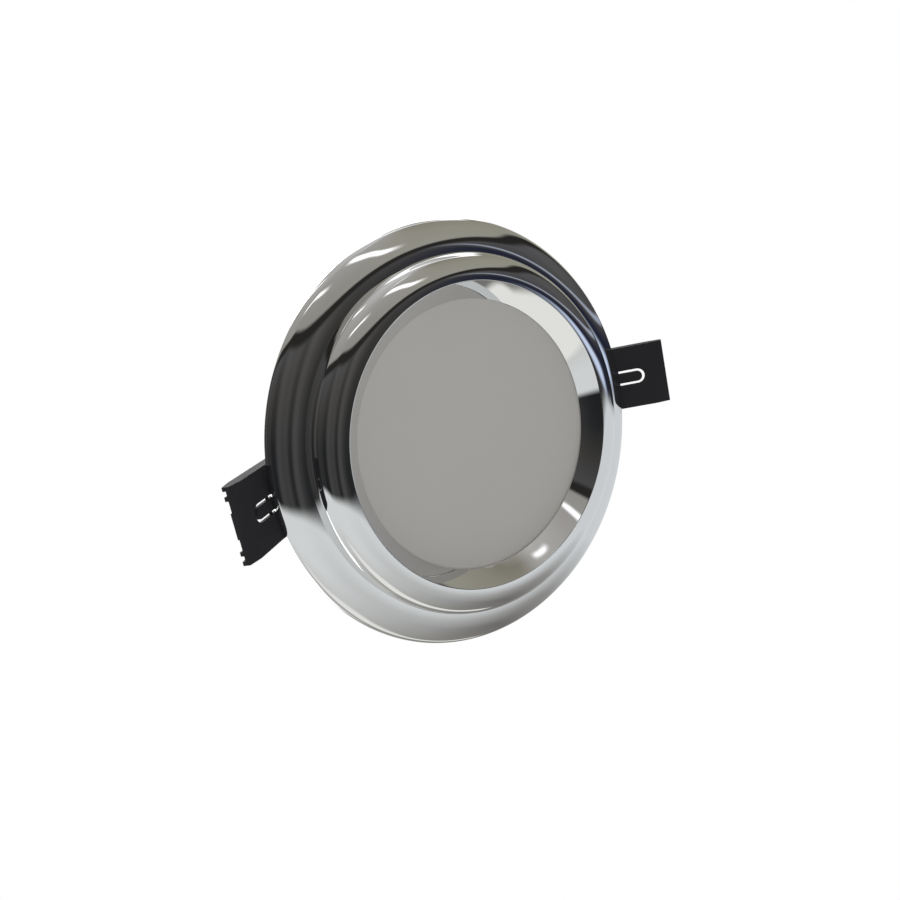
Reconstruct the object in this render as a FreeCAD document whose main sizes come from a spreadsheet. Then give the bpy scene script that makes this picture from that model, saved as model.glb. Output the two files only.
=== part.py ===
"""Recessed soffit downlight: a chrome two-step bezel round an opal diffuser, a cast heat sink that
passes through the ceiling hole with its driver box on top, and two sprung clips that hold it up.

Millimetres. +Z is up into the soffit and the light shines along -Z. The origin is on the axis, in the
plane of the soffit's face, which the bezel's back and its gasket lie against."""

import FreeCAD, Part
import math
import os
import Sketcher

V = FreeCAD.Vector
doc = FreeCAD.newDocument("soffit_downlight")

# Each size that can be set by itself, with what it measures.
SIZES = {
    "spigot_r": (54.0, "radius of the body that passes through the soffit's hole"),
    "flange_wide": (15.0, "how far the bezel reaches beyond the spigot, all round"),
    "outer_step_wide": (11.3, "width of the outer step, from the rim to the crease"),
    "inner_step_wide": (9.2, "width of the inner step, from the crease to the front edge"),
    "bevel_wide": (5.2, "width of the bevel, from the front edge to the diffuser"),
    "step_angle": (60.0, "degrees of the tight arc at the outside of each step"),
    "outer_shoulder_r": (2.7, "tight arc of the outer step"),
    "inner_shoulder_r": (4.6, "tight arc of the inner step"),
    "flank": (2.07, "upright between the crease and the inner step"),
    "bevel_depth": (5.7, "how far the bevel sinks behind the front edge"),
    "lip_land": (0.6, "upright land at the bevel's inner edge"),
    "ledge_wide": (3.0, "how far the diffuser overlaps the ledge that it lies on"),
    "pocket_wall": (1.6, "bezel wall between the diffuser pocket and the coring"),
    "coring_front": (9.4, "depth of the coring behind the inner step"),
    "coring_slope": (0.8, "how much deeper the coring is on its inner side"),
    "shoulder_depth": (2.6, "depth of the bezel's shoulder below the soffit plane"),
    "gasket_edge": (2.8, "distance of the soffit gasket from the bezel's rim"),
    "gasket_wide": (7.6, "width of the soffit gasket"),
    "gasket_thick": (1.6, "thickness of the soffit gasket when clamped"),
    "side_gap": (0.2, "clearance beside a part that drops into a recess"),
    "spigot_top": (10.5, "height of the heat sink's back above the soffit plane"),
    "spigot_foot": (0.3, "height above the soffit plane where the spigot's full width starts"),
    "spigot_relief": (1.5, "how much smaller in radius the heat sink is inside the bezel"),
    "sink_wall": (2.4, "wall of the heat sink's skirt"),
    "sink_floor": (2.5, "thickness of the heat sink's floor"),
    "diffuser_thick": (2.0, "thickness of the opal diffuser"),
    "diffuser_gap": (0.3, "clearance round the diffuser"),
    "seal_width": (2.8, "width of the silicone ring on the diffuser"),
    "reflector_wall": (1.2, "wall of the reflector"),
    "reflector_over": (0.7, "how much wider in radius the reflector is than the bevel's inner edge"),
    "reflector_top_r": (36.8, "radius of the reflector's narrow end"),
    "board_r": (39.0, "radius of the light-source board"),
    "board_thick": (1.6, "thickness of the light-source board"),
    "pad_margin": (1.0, "how much smaller the thermal pad is than the board, all round"),
    "pad_thick": (0.5, "thickness of the thermal pad"),
    "chip_long": (3.5, "length of one light-emitting package"),
    "chip_wide": (2.8, "width of one light-emitting package"),
    "chip_tall": (0.8, "height of one light-emitting package"),
    "chip_ring_in": (14.0, "radius of the inner ring of packages"),
    "chip_ring_out": (29.0, "radius of the outer ring of packages"),
    "chips_in": (8, "number of packages in the inner ring"),
    "chips_out": (16, "number of packages in the outer ring"),
    "board_screw_circle": (21.5, "radius on which the board's screws stand"),
    "board_screw_count": (3, "number of the board's screws"),
    "board_screw_turn": (30.0, "degrees from +X to the first of the board's screws"),
    "ring_screw_edge": (3.7, "distance of the bezel's screws from the spigot's side"),
    "ring_boss_r": (2.6, "radius of the bezel's screw bosses"),
    "sink_boss_r": (3.2, "radius of the heat sink's screw bosses"),
    "ring_screw_reach": (4.9, "how far the bezel's screws enter the bezel"),
    "screw_r": (1.5, "shank radius of every screw"),
    "screw_gap": (0.05, "radial clearance round a screw's shank"),
    "head_r": (2.75, "head radius of every screw"),
    "head_tall": (2.0, "head height of every screw"),
    "head_edge": (0.8, "height of a screw head's straight side"),
    "head_top_r": (1.9, "radius of the flat on a screw's head"),
    "recess_r": (0.9, "radius of the driving recess in a screw's head"),
    "recess_deep": (1.1, "depth of the driving recess"),
    "blind_spare": (0.5, "how much deeper a blind hole is than its screw"),
    "fin_thick": (1.6, "thickness of a cooling fin"),
    "fin_in_r": (12.0, "radius where the fins start"),
    "fin_out_r": (44.0, "radius where the fins end"),
    "fin_tall": (9.6, "height of the fins"),
    "fin_count": (24, "number of fins"),
    "bracket_long": (9.6, "length of a clip bracket's base"),
    "bracket_to_hinge": (3.86, "distance from the base's outer edge to the hinge"),
    "bracket_thick": (1.2, "sheet thickness of a clip bracket"),
    "bracket_screw_y": (6.2, "half the spacing of a bracket's screws"),
    "bracket_screw_long": (6.0, "shank length of a bracket's screws"),
    "ear_r": (3.2, "radius of the rounded end of a bracket's ear"),
    "ear_gap": (0.4, "clearance between the sleeve's side and the ear"),
    "hinge_up": (24.5, "height of the clip's hinge above the soffit plane"),
    "droop": (41.75, "degrees that a clip droops below level at rest"),
    "rim_gap": (0.2, "gap between the resting sleeve and the bezel's rim"),
    "pin_r": (1.2, "radius of the hinge pin"),
    "pin_gap": (0.05, "running clearance of the hinge pin"),
    "pin_head_r": (2.1, "radius of the hinge pin's heads"),
    "pin_head_tall": (0.9, "thickness of the hinge pin's heads"),
    "pin_head_top_r": (1.7, "radius of the flat on the hinge pin's heads"),
    "wire_r": (0.7, "radius of the spring's wire"),
    "coil_r": (2.4, "radius of the coil, to the middle of the wire"),
    "coil_turns": (3.0, "turns that each coil would have if its arm lay level"),
    "tail_y": (3.2, "distance of the spring's tails from the middle of the clip"),
    "tail_long": (5.6, "length of the spring's tails"),
    "sleeve_wide": (22.57, "width of the plastic sleeve"),
    "sleeve_start": (7.5, "distance from the hinge to the sleeve's inner end"),
    "sleeve_bend": (44.9, "distance from the hinge to the bend of the lip"),
    "lip_long": (4.73, "length of the sleeve's lip"),
    "lip_bend": (13.15, "degrees that the lip bends back"),
    "lip_tall": (2.15, "depth of the sleeve at the tip of its lip"),
    "sleeve_plate": (1.2, "thickness of the sleeve's plate"),
    "sleeve_deep": (4.0, "depth of the sleeve over its flanges"),
    "flange_thick": (1.2, "thickness of the sleeve's side flanges"),
    "rib_thick": (1.3, "thickness of the ribs beside the wire"),
    "wire_room": (0.1, "clearance between the wire and the sleeve"),
    "block_half": (3.8, "half width of the raised block at the lip"),
    "block_drop": (0.5, "how much lower the block is than the flanges"),
    "catch_long": (3.5, "length of each catch over the wire"),
    "catch_near": (13.0, "distance from the hinge to the inner catches"),
    "catch_far": (34.0, "distance from the hinge to the outer catches"),
    "slit_start": (29.0, "distance from the hinge to the open end of the slit"),
    "slit_end": (41.9, "distance from the hinge to the slit's round end"),
    "slit_half": (2.75, "half width over the U-shaped slit"),
    "slit_wide": (0.95, "width of the slit"),
    "web_at": (32.5, "distance from the hinge to the thin web across the slit"),
    "web_thick": (0.4, "thickness of that web"),
    "crossbar_at": (43.3, "distance from the hinge to the wire's crossbar"),
    "wire_corner_r": (1.8, "bend radius where an arm turns into the crossbar"),
    "case_long": (66.0, "length of the driver box, along X"),
    "case_wide": (54.0, "width of the driver box, along Y"),
    "case_headroom": (0.6, "clearance between the tallest part and the cover"),
    "case_wall": (1.8, "wall of the driver box's cover"),
    "case_corner_r": (4.0, "corner radius of the driver box, seen from above"),
    "case_edge_r": (1.5, "radius along the cover's top edge"),
    "base_thick": (2.4, "thickness of the driver box's base"),
    "post_r": (3.0, "radius of the posts that the cover is screwed to"),
    "post_gap": (0.2, "gap between a post and the cover"),
    "cover_screw_long": (8.0, "shank length of the cover's screws"),
    "base_screw_x": (20.0, "distance of the base's screws from the axis"),
    "base_screw_long": (8.0, "shank length of the base's screws"),
    "sink_post_r": (3.6, "radius of the heat sink's posts under the driver box"),
    "standoff_r": (2.2, "radius of the standoffs under the circuit board"),
    "standoff_tall": (4.0, "height of the standoffs"),
    "standoff_in": (4.0, "distance from the board's edges to the standoffs' axes"),
    "circuit_long": (50.0, "length of the driver's circuit board"),
    "circuit_wide": (38.0, "width of the driver's circuit board"),
    "circuit_thick": (1.6, "thickness of the driver's circuit board"),
    "entry_up": (11.0, "height of the cable entry above the cover's lower edge"),
    "entry_hole_r": (5.5, "radius of the hole in the cover for the grommet"),
    "entry_bore_r": (3.5, "bore of the grommet"),
    "grommet_long": (8.0, "length of the grommet's bore"),
    "grommet_flange": (1.5, "width of the grommet's flanges beyond the hole"),
    "grommet_lip": (2.0, "thickness of the grommet's inner flange"),
    "lead_r": (0.6, "radius of an insulated lead"),
    "lead_x": (1.3, "distance of each lead from the middle"),
    "lead_y": (9.0, "distance of the leads' passage from the axis"),
    "lead_hole_r": (2.6, "radius of the leads' passage"),
    "core_x": (-10.0, "transformer's place along the circuit board"),
    "core_y": (-7.0, "transformer's place across the circuit board"),
    "core_long": (18.0, "length of the transformer's core"),
    "core_wide": (10.0, "width of the transformer's core"),
    "core_tall": (13.0, "height of the transformer's core"),
    "core_limb": (2.8, "thickness of the core's limbs"),
    "winding_gap": (0.3, "clearance between the winding and the core"),
    "winding_out": (2.5, "how far the winding stands out of the core"),
    "tall_can_x": (14.0, "input capacitor's place along the circuit board"),
    "tall_can_y": (5.0, "input capacitor's place across the circuit board"),
    "tall_can_r": (5.0, "radius of the input capacitor"),
    "tall_can_up": (12.5, "height of the input capacitor"),
    "short_can_x": (17.0, "output capacitor's place along the circuit board"),
    "short_can_y": (-10.0, "output capacitor's place across the circuit board"),
    "short_can_r": (4.0, "radius of the output capacitor"),
    "short_can_up": (11.0, "height of the output capacitor"),
    "can_crimp": (0.4, "depth of the crimp round a capacitor"),
    "can_crimp_up": (1.6, "height of the crimp above the capacitor's foot"),
    "film_x": (-17.0, "film capacitor's place along the circuit board"),
    "film_y": (8.0, "film capacitor's place across the circuit board"),
    "film_long": (11.0, "length of the film capacitor"),
    "film_wide": (5.5, "width of the film capacitor"),
    "film_tall": (9.5, "height of the film capacitor"),
    "choke_x": (5.0, "choke's place along the circuit board"),
    "choke_y": (-11.0, "choke's place across the circuit board"),
    "choke_r": (4.0, "radius of the choke's flanges"),
    "choke_wound_r": (3.3, "radius of the choke's winding"),
    "choke_tall": (9.0, "height of the choke"),
    "choke_flange": (1.2, "thickness of the choke's flanges"),
    "bridge_x": (5.0, "rectifier's place along the circuit board"),
    "bridge_long": (6.5, "length of the rectifier"),
    "bridge_wide": (5.0, "width of the rectifier"),
    "bridge_tall": (2.6, "height of the rectifier"),
    "fuse_x": (-12.5, "fuse resistor's place along the circuit board"),
    "fuse_y": (15.0, "fuse resistor's place across the circuit board"),
    "fuse_r": (2.0, "radius of the fuse resistor"),
    "fuse_tall": (8.0, "height of the fuse resistor"),
    "block_y": (14.5, "terminal block's place across the circuit board"),
    "block_long": (15.0, "length of the terminal block"),
    "block_wide": (8.0, "width of the terminal block"),
    "block_tall": (10.0, "height of the terminal block"),
    "pole_pitch": (4.8, "distance between the terminal block's poles"),
    "wire_way_r": (1.4, "radius of the terminal block's wire entries"),
    "wire_way_up": (3.6, "height of the wire entries above the circuit board"),
    "wire_way_deep": (6.0, "depth of the wire entries"),
    "clamp_screw_r": (1.5, "radius of the terminal block's clamp screws"),
    "clamp_screw_long": (3.4, "length of the clamp screws"),
    "clamp_slot": (0.75, "width of the slot in a clamp screw"),
    "clamp_slot_deep": (0.85, "depth of the slot in a clamp screw"),
}

# Lengths below this are taken as nothing.
CLOSE = 1e-6

sheet = doc.addObject("Spreadsheet::Sheet", "Sizes")
for row, (alias, (number, meaning)) in enumerate(SIZES.items(), start=1):
    sheet.set(f"A{row}", meaning)
    sheet.set(f"B{row}", str(number))
    sheet.setAlias(f"B{row}", alias)
doc.recompute()


class Size:
    """A length worked out from the sheet: its number, and the expression that binds it there."""

    def __init__(self, number, words):
        self.number = float(number)
        self.words = words

    def __add__(self, other):
        other = size(other)
        return Size(self.number + other.number, f"({self.words} + {other.words})")

    def __sub__(self, other):
        other = size(other)
        return Size(self.number - other.number, f"({self.words} - {other.words})")

    def __mul__(self, other):
        other = size(other)
        return Size(self.number * other.number, f"({self.words} * {other.words})")

    def __truediv__(self, other):
        other = size(other)
        return Size(self.number / other.number, f"({self.words} / {other.words})")

    def __neg__(self):
        return size(0) - self

    def __radd__(self, other):
        return size(other) + self

    def __rsub__(self, other):
        return size(other) - self

    def __rmul__(self, other):
        return size(other) * self


def size(value):
    """A plain number is a size whose expression is the number itself."""
    return value if isinstance(value, Size) else Size(value, f"{value:g}")


def cosine(angle):
    return Size(math.cos(math.radians(angle.number)), f"cos({angle.words} * 1 deg)")


def sine(angle):
    return Size(math.sin(math.radians(angle.number)), f"sin({angle.words} * 1 deg)")


class Sheet:
    """Gives each size of the sheet by its own name."""

    def __getattr__(self, alias):
        return Size(SIZES[alias][0], f"Sizes.{alias}")


S = Sheet()


def bind(thing, prop, value):
    """Sets a property to a size, and ties it to the sheet."""
    thing.setExpression(prop, size(value).words)


def body(label):
    made = doc.addObject("PartDesign::Body", label)
    made.Label = label
    return made


def sketch_on(owner, plane, lift=0):
    """An empty sketch on one of the body's origin planes, lifted along the plane's normal."""
    made = owner.newObject("Sketcher::SketchObject", f"{owner.Name}_sketch")
    faces = [f for f in owner.Origin.OriginFeatures if f.Role == plane]
    made.AttachmentSupport = [(faces[0], "")]
    made.MapMode = "FlatFace"
    made.AttachmentOffset = FreeCAD.Placement(V(0, 0, size(lift).number), FreeCAD.Rotation())
    bind(made, "AttachmentOffset.Base.z", lift)
    return made


def hold(sketch, kind, *where, value):
    """Adds one dimension to a sketch and ties it to the sheet."""
    index = sketch.addConstraint(Sketcher.Constraint(kind, *where, size(value).number))
    bind(sketch, f"Constraints[{index}]", value)


def outline(owner, plane, corners, lift=0):
    """A closed sketch through corners (x, y). A third entry makes the edge that leaves the corner an arc
    of that radius, which bulges to the right of its chord. A half-round edge has an upright chord."""
    sketch = sketch_on(owner, plane, lift)
    half_round = set()
    for k, corner in enumerate(corners):
        here = V(size(corner[0]).number, size(corner[1]).number, 0)
        after = corners[(k + 1) % len(corners)]
        there = V(size(after[0]).number, size(after[1]).number, 0)
        if len(corner) == 2:
            sketch.addGeometry(Part.LineSegment(here, there))
            continue
        chord = there - here
        radius = size(corner[2]).number
        sag = math.sqrt(max(radius**2 - (chord.Length / 2) ** 2, 0))
        left = V(-chord.y, chord.x, 0).normalize()
        if sag < CLOSE:
            half_round.add(k)
        centre = (here + there) / 2 + left * sag
        start = math.atan2(here.y - centre.y, here.x - centre.x)
        stop = math.atan2(there.y - centre.y, there.x - centre.x)
        sketch.addGeometry(Part.ArcOfCircle(Part.Circle(centre, V(0, 0, 1), radius), start, stop))
    for k, corner in enumerate(corners):
        sketch.addConstraint(Sketcher.Constraint("Coincident", k, 2, (k + 1) % len(corners), 1))
        hold(sketch, "DistanceX", -1, 1, k, 1, value=corner[0])
        hold(sketch, "DistanceY", -1, 1, k, 1, value=corner[1])
        if k in half_round:
            hold(sketch, "DistanceX", -1, 1, k, 3, value=corner[0])
        elif len(corner) == 3:
            hold(sketch, "Radius", k, value=corner[2])
    return sketch


def circles(owner, plane, centres, radius, lift=0):
    """A sketch of equal circles."""
    sketch = sketch_on(owner, plane, lift)
    for k, (x, y) in enumerate(centres):
        middle = V(size(x).number, size(y).number, 0)
        sketch.addGeometry(Part.Circle(middle, V(0, 0, 1), size(radius).number))
        hold(sketch, "DistanceX", -1, 1, k, 3, value=x)
        hold(sketch, "DistanceY", -1, 1, k, 3, value=y)
        hold(sketch, "Radius", k, value=radius)
    return sketch


def rectangle(half_x, half_y, x=0, y=0):
    """Corners of a rectangle about (x, y)."""
    return [
        (x - half_x, y - half_y),
        (x + half_x, y - half_y),
        (x + half_x, y + half_y),
        (x - half_x, y + half_y),
    ]


def prism(owner, sketch, length, kind="Pad", side="One side", back=False):
    """Pads or pockets a sketch. Sketches on the XY plane pad upwards, and downwards with back."""
    made = owner.newObject(f"PartDesign::{kind}", f"{owner.Name}_{kind.lower()}")
    made.Profile = sketch
    made.SideType = side
    made.Reversed = back
    bind(made, "Length", length)
    return made


def turned(owner, corners):
    """Turns a section (radius, height) about the Z axis."""
    sketch = outline(owner, "XZ_Plane", corners)
    made = owner.newObject("PartDesign::Revolution", f"{owner.Name}_turned")
    made.Profile = sketch
    made.ReferenceAxis = (sketch, ["V_Axis"])
    made.Angle = 360
    return made


def around(owner, features, count):
    """Repeats features evenly about the Z axis."""
    made = owner.newObject("PartDesign::PolarPattern", f"{owner.Name}_pattern")
    made.Originals = features
    made.Axis = ([f for f in owner.Origin.OriginFeatures if f.Role == "Z_Axis"][0], [""])
    made.Angle = 360
    made.Occurrences = count
    owner.Tip = made
    return made


def rounded(owner, radius, wanted):
    """Fillets the edges of the body's last feature for which wanted(edge) is true."""
    doc.recompute()
    last = owner.Tip
    names = [f"Edge{k}" for k, edge in enumerate(last.Shape.Edges, start=1) if wanted(edge)]
    made = owner.newObject("PartDesign::Fillet", f"{owner.Name}_fillet")
    made.Base = (last, names)
    bind(made, "Radius", radius)
    return made


def upright(edge):
    """True of a straight edge along Z."""
    run = edge.Vertexes[-1].Point - edge.Vertexes[0].Point
    return math.hypot(run.x, run.y) < CLOSE < abs(run.z)


def place(thing, x=0, y=0, z=0, turn=0, tilt=0):
    """Puts a piece at a point, tilted about Y and then turned about Z, in degrees."""
    spin = FreeCAD.Rotation(V(0, 0, 1), turn) * FreeCAD.Rotation(V(0, 1, 0), size(tilt).number)
    spot = V(size(x).number, size(y).number, size(z).number)
    thing.Placement = FreeCAD.Placement(spot, spin)
    for axis, value in zip("xyz", (x, y, z)):
        bind(thing, f".Placement.Base.{axis}", value)
    return thing


def group(label, members):
    """One node of several separate solids."""
    made = doc.addObject("Part::Compound", label)
    made.Label = label
    made.Links = members
    return made


def copy_of(piece, *where, **turned_by):
    """The same piece again, at another place."""
    link = doc.addObject("App::Link", f"{piece.Name}_copy")
    link.LinkedObject = piece
    link.LinkTransform = False
    return place(link, *where, **turned_by)


nodes = []


def node(piece):
    nodes.append(piece)
    return piece


def direction(degrees):
    """Cosine and sine of an angle, free of rounding dust."""
    angle = math.radians(degrees)
    return round(math.cos(angle), 9), round(math.sin(angle), 9)


def turned_spots(radius, count, first=0):
    """Points evenly round the axis, as sizes."""
    ways = [direction(first + 360 * k / count) for k in range(count)]
    return [(radius * c, radius * s) for c, s in ways]


# Each step of the bezel is a tight arc, its shoulder, and then a wide arc, its crown. The shoulder's
# width and height follow from its radius, and the crown fills what is left of the step.
outer_shoulder_x = S.outer_shoulder_r * (1 - cosine(S.step_angle))
outer_shoulder_y = S.outer_shoulder_r * sine(S.step_angle)
inner_shoulder_x = S.inner_shoulder_r * (1 - cosine(S.step_angle))
inner_shoulder_y = S.inner_shoulder_r * sine(S.step_angle)
outer_crown_r = (S.outer_step_wide - outer_shoulder_x) / cosine(S.step_angle)
inner_crown_r = (S.inner_step_wide - inner_shoulder_x) / cosine(S.step_angle)

# Heights and radii that several pieces share, from the soffit plane and the axis.
rim_r = S.spigot_r + S.flange_wide
crease_r = rim_r - S.outer_step_wide
crest_r = crease_r - S.inner_step_wide
lip_r = crest_r - S.bevel_wide
gasket_out_r = rim_r - S.gasket_edge
gasket_in_r = gasket_out_r - S.gasket_wide
reflector_in_r = lip_r + S.reflector_over
ring_screw_circle = S.spigot_r - S.ring_screw_edge
crease_z = -outer_shoulder_y - outer_crown_r * (1 - sine(S.step_angle))
inner_step_z = crease_z - S.flank
crest_z = inner_step_z - inner_shoulder_y - inner_crown_r * (1 - sine(S.step_angle))
lip_z = crest_z + S.bevel_depth
ledge_z = lip_z + S.lip_land
shoulder_z = -S.shoulder_depth
pocket_r = lip_r + S.ledge_wide + S.diffuser_gap
seal_z = ledge_z + S.diffuser_thick
sink_z = shoulder_z + S.reflector_wall
floor_z = S.spigot_top - S.sink_floor
board_z = floor_z - S.pad_thick - S.board_thick
fins_z = S.spigot_top + S.fin_tall
bore_r = S.spigot_r + S.side_gap
shank_hole_r = S.screw_r + S.screw_gap
ring_diagonal = ring_screw_circle * (0.5**0.5)
base_z = fins_z
cover_z = base_z + S.base_thick
circuit_z = cover_z + S.standoff_tall
parts_z = circuit_z + S.circuit_thick
ceiling_of_case_z = parts_z + S.core_tall + S.case_headroom
case_tall = ceiling_of_case_z + S.case_wall - cover_z
case_half_x = S.case_long / 2
case_half_y = S.case_wide / 2
post_inset = S.case_wall + S.post_gap + S.post_r
post_x = case_half_x - post_inset
post_y = case_half_y - post_inset


# The bezel: a cast ring with two rounded steps, plated in chrome. Behind it are the gasket's groove,
# the bore that takes the heat sink, the pocket that takes the diffuser, and four screw bosses.
def bezel():
    made = body("bezel")
    coring_in = pocket_r + S.pocket_wall
    coring_out = ring_screw_circle + S.ring_boss_r
    groove_in = gasket_in_r - S.side_gap
    groove_out = gasket_out_r + S.side_gap
    turned(
        made,
        [
            (lip_r, lip_z),
            (crest_r, crest_z, inner_crown_r),
            (crease_r - inner_shoulder_x, inner_step_z - inner_shoulder_y, S.inner_shoulder_r),
            (crease_r, inner_step_z),
            (crease_r, crease_z, outer_crown_r),
            (rim_r - outer_shoulder_x, -outer_shoulder_y, S.outer_shoulder_r),
            (rim_r, 0),
            (groove_out, 0),
            (groove_out, -S.gasket_thick),
            (groove_in, -S.gasket_thick),
            (groove_in, 0),
            (bore_r, 0),
            (bore_r, shoulder_z),
            (coring_out, shoulder_z),
            (coring_out, -S.coring_front),
            (coring_in, -S.coring_front - S.coring_slope),
            (coring_in, shoulder_z),
            (pocket_r, shoulder_z),
            (pocket_r, ledge_z),
            (lip_r, ledge_z),
        ],
    )
    spot = [(ring_diagonal, ring_diagonal)]
    boss_sketch = circles(made, "XY_Plane", spot, S.ring_boss_r, lift=shoulder_z)
    boss = prism(made, boss_sketch, S.coring_front + S.coring_slope - S.shoulder_depth, back=True)
    hole_sketch = circles(made, "XY_Plane", spot, shank_hole_r, lift=shoulder_z)
    hole = prism(made, hole_sketch, S.ring_screw_reach + S.blind_spare, "Pocket")
    around(made, [boss, hole], 4)
    return made


# The soffit gasket: a flat foam ring in the bezel's groove, clamped flush with the bezel's back.
def ceiling_gasket():
    made = body("ceiling_gasket")
    turned(
        made,
        [
            (gasket_in_r, -S.gasket_thick),
            (gasket_out_r, -S.gasket_thick),
            (gasket_out_r, 0),
            (gasket_in_r, 0),
        ],
    )
    return made


# The diffuser: a flat opal disc that lies on the bezel's ledge.
def diffuser():
    made = doc.addObject("Part::Cylinder", "diffuser")
    bind(made, "Radius", pocket_r - S.diffuser_gap)
    bind(made, "Height", S.diffuser_thick)
    return place(made, z=ledge_z)


# The seal: a silicone ring squeezed between the diffuser and the reflector's flange.
def diffuser_seal():
    made = body("diffuser_seal")
    out_r = pocket_r - S.side_gap
    turned(
        made,
        [
            (out_r - S.seal_width, seal_z),
            (out_r, seal_z),
            (out_r, shoulder_z),
            (out_r - S.seal_width, shoulder_z),
        ],
    )
    return made


# The reflector: a white cone whose flange is clamped between the bezel and the heat sink.
def reflector():
    made = body("reflector")
    top_z = board_z - S.side_gap
    flange_r = S.spigot_r - 3 * S.side_gap
    turned(
        made,
        [
            (reflector_in_r, shoulder_z),
            (flange_r, shoulder_z),
            (flange_r, sink_z),
            (reflector_in_r + S.reflector_wall, sink_z),
            (S.reflector_top_r + S.reflector_wall, top_z),
            (S.reflector_top_r, top_z),
        ],
    )
    spot = [(ring_diagonal, ring_diagonal)]
    hole_sketch = circles(made, "XY_Plane", spot, shank_hole_r, lift=shoulder_z)
    hole = prism(made, hole_sketch, S.reflector_wall, "Pocket", back=True)
    around(made, [hole], 4)
    return made


lead_spots = [(S.lead_x, S.lead_y), (-S.lead_x, S.lead_y)]
board_screw_spots = turned_spots(
    S.board_screw_circle,
    int(S.board_screw_count.number),
    first=S.board_screw_turn.number,
)


# The light-source board: an aluminium disc with holes for its screws and for the two leads.
def led_board():
    made = body("led_board")
    prism(made, circles(made, "XY_Plane", [(0, 0)], S.board_r, lift=board_z), S.board_thick)
    holes = circles(made, "XY_Plane", board_screw_spots, shank_hole_r, lift=board_z)
    prism(made, holes, S.board_thick, "Pocket", back=True)
    lead_holes = circles(made, "XY_Plane", lead_spots, S.lead_r + S.screw_gap, lift=board_z)
    prism(made, lead_holes, S.board_thick, "Pocket", back=True)
    return made


# The thermal pad: a soft grey disc between the board and the heat sink.
def thermal_pad():
    made = body("thermal_pad")
    low = board_z + S.board_thick
    prism(made, circles(made, "XY_Plane", [(0, 0)], S.board_r - S.pad_margin, lift=low), S.pad_thick)
    holes = circles(made, "XY_Plane", board_screw_spots, shank_hole_r, lift=low)
    prism(made, holes, S.pad_thick, "Pocket", back=True)
    passage = circles(made, "XY_Plane", [(0, S.lead_y)], S.lead_hole_r, lift=low)
    prism(made, passage, S.pad_thick, "Pocket", back=True)
    return made


# The light-emitting packages: small blocks in two rings on the board's face.
def led_chips():
    chips = []
    for radius, chips_here in ((S.chip_ring_in, S.chips_in), (S.chip_ring_out, S.chips_out)):
        count = int(chips_here.number)
        for k in range(count):
            turn = 360 * (k + 0.5) / count
            out = radius - S.chip_wide / 2
            side = S.chip_long / 2
            c, s = direction(turn)
            chip = doc.addObject("Part::Box", "led_chip")
            bind(chip, "Length", S.chip_wide)
            bind(chip, "Width", S.chip_long)
            bind(chip, "Height", S.chip_tall)
            x = out * c + side * s
            y = out * s - side * c
            chips.append(place(chip, x, y, board_z - S.chip_tall, turn=turn))
    return group("led_chips", chips)


def screw(label, shank):
    """A round-headed screw that stands head up with the head's seat at the origin."""
    made = body(label)
    turned(
        made,
        [
            (0, -shank),
            (S.screw_r, -shank),
            (S.screw_r, 0),
            (S.head_r, 0),
            (S.head_r, S.head_edge),
            (S.head_top_r, S.head_tall),
            (S.recess_r, S.head_tall),
            (S.recess_r, S.head_tall - S.recess_deep),
            (0, S.head_tall - S.recess_deep),
        ],
    )
    return made


def screws(label, shank, spots, z, flip=False):
    """Equal screws as one node, heads up, or heads down with flip."""
    master = screw(f"{label}_one", shank)
    turn = FreeCAD.Rotation(V(1, 0, 0), 180 if flip else 0)
    copies = []
    for x, y in spots:
        link = copy_of(master, x, y, z)
        link.Placement = FreeCAD.Placement(link.Placement.Base, turn)
        copies.append(link)
    return group(label, copies)


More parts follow.
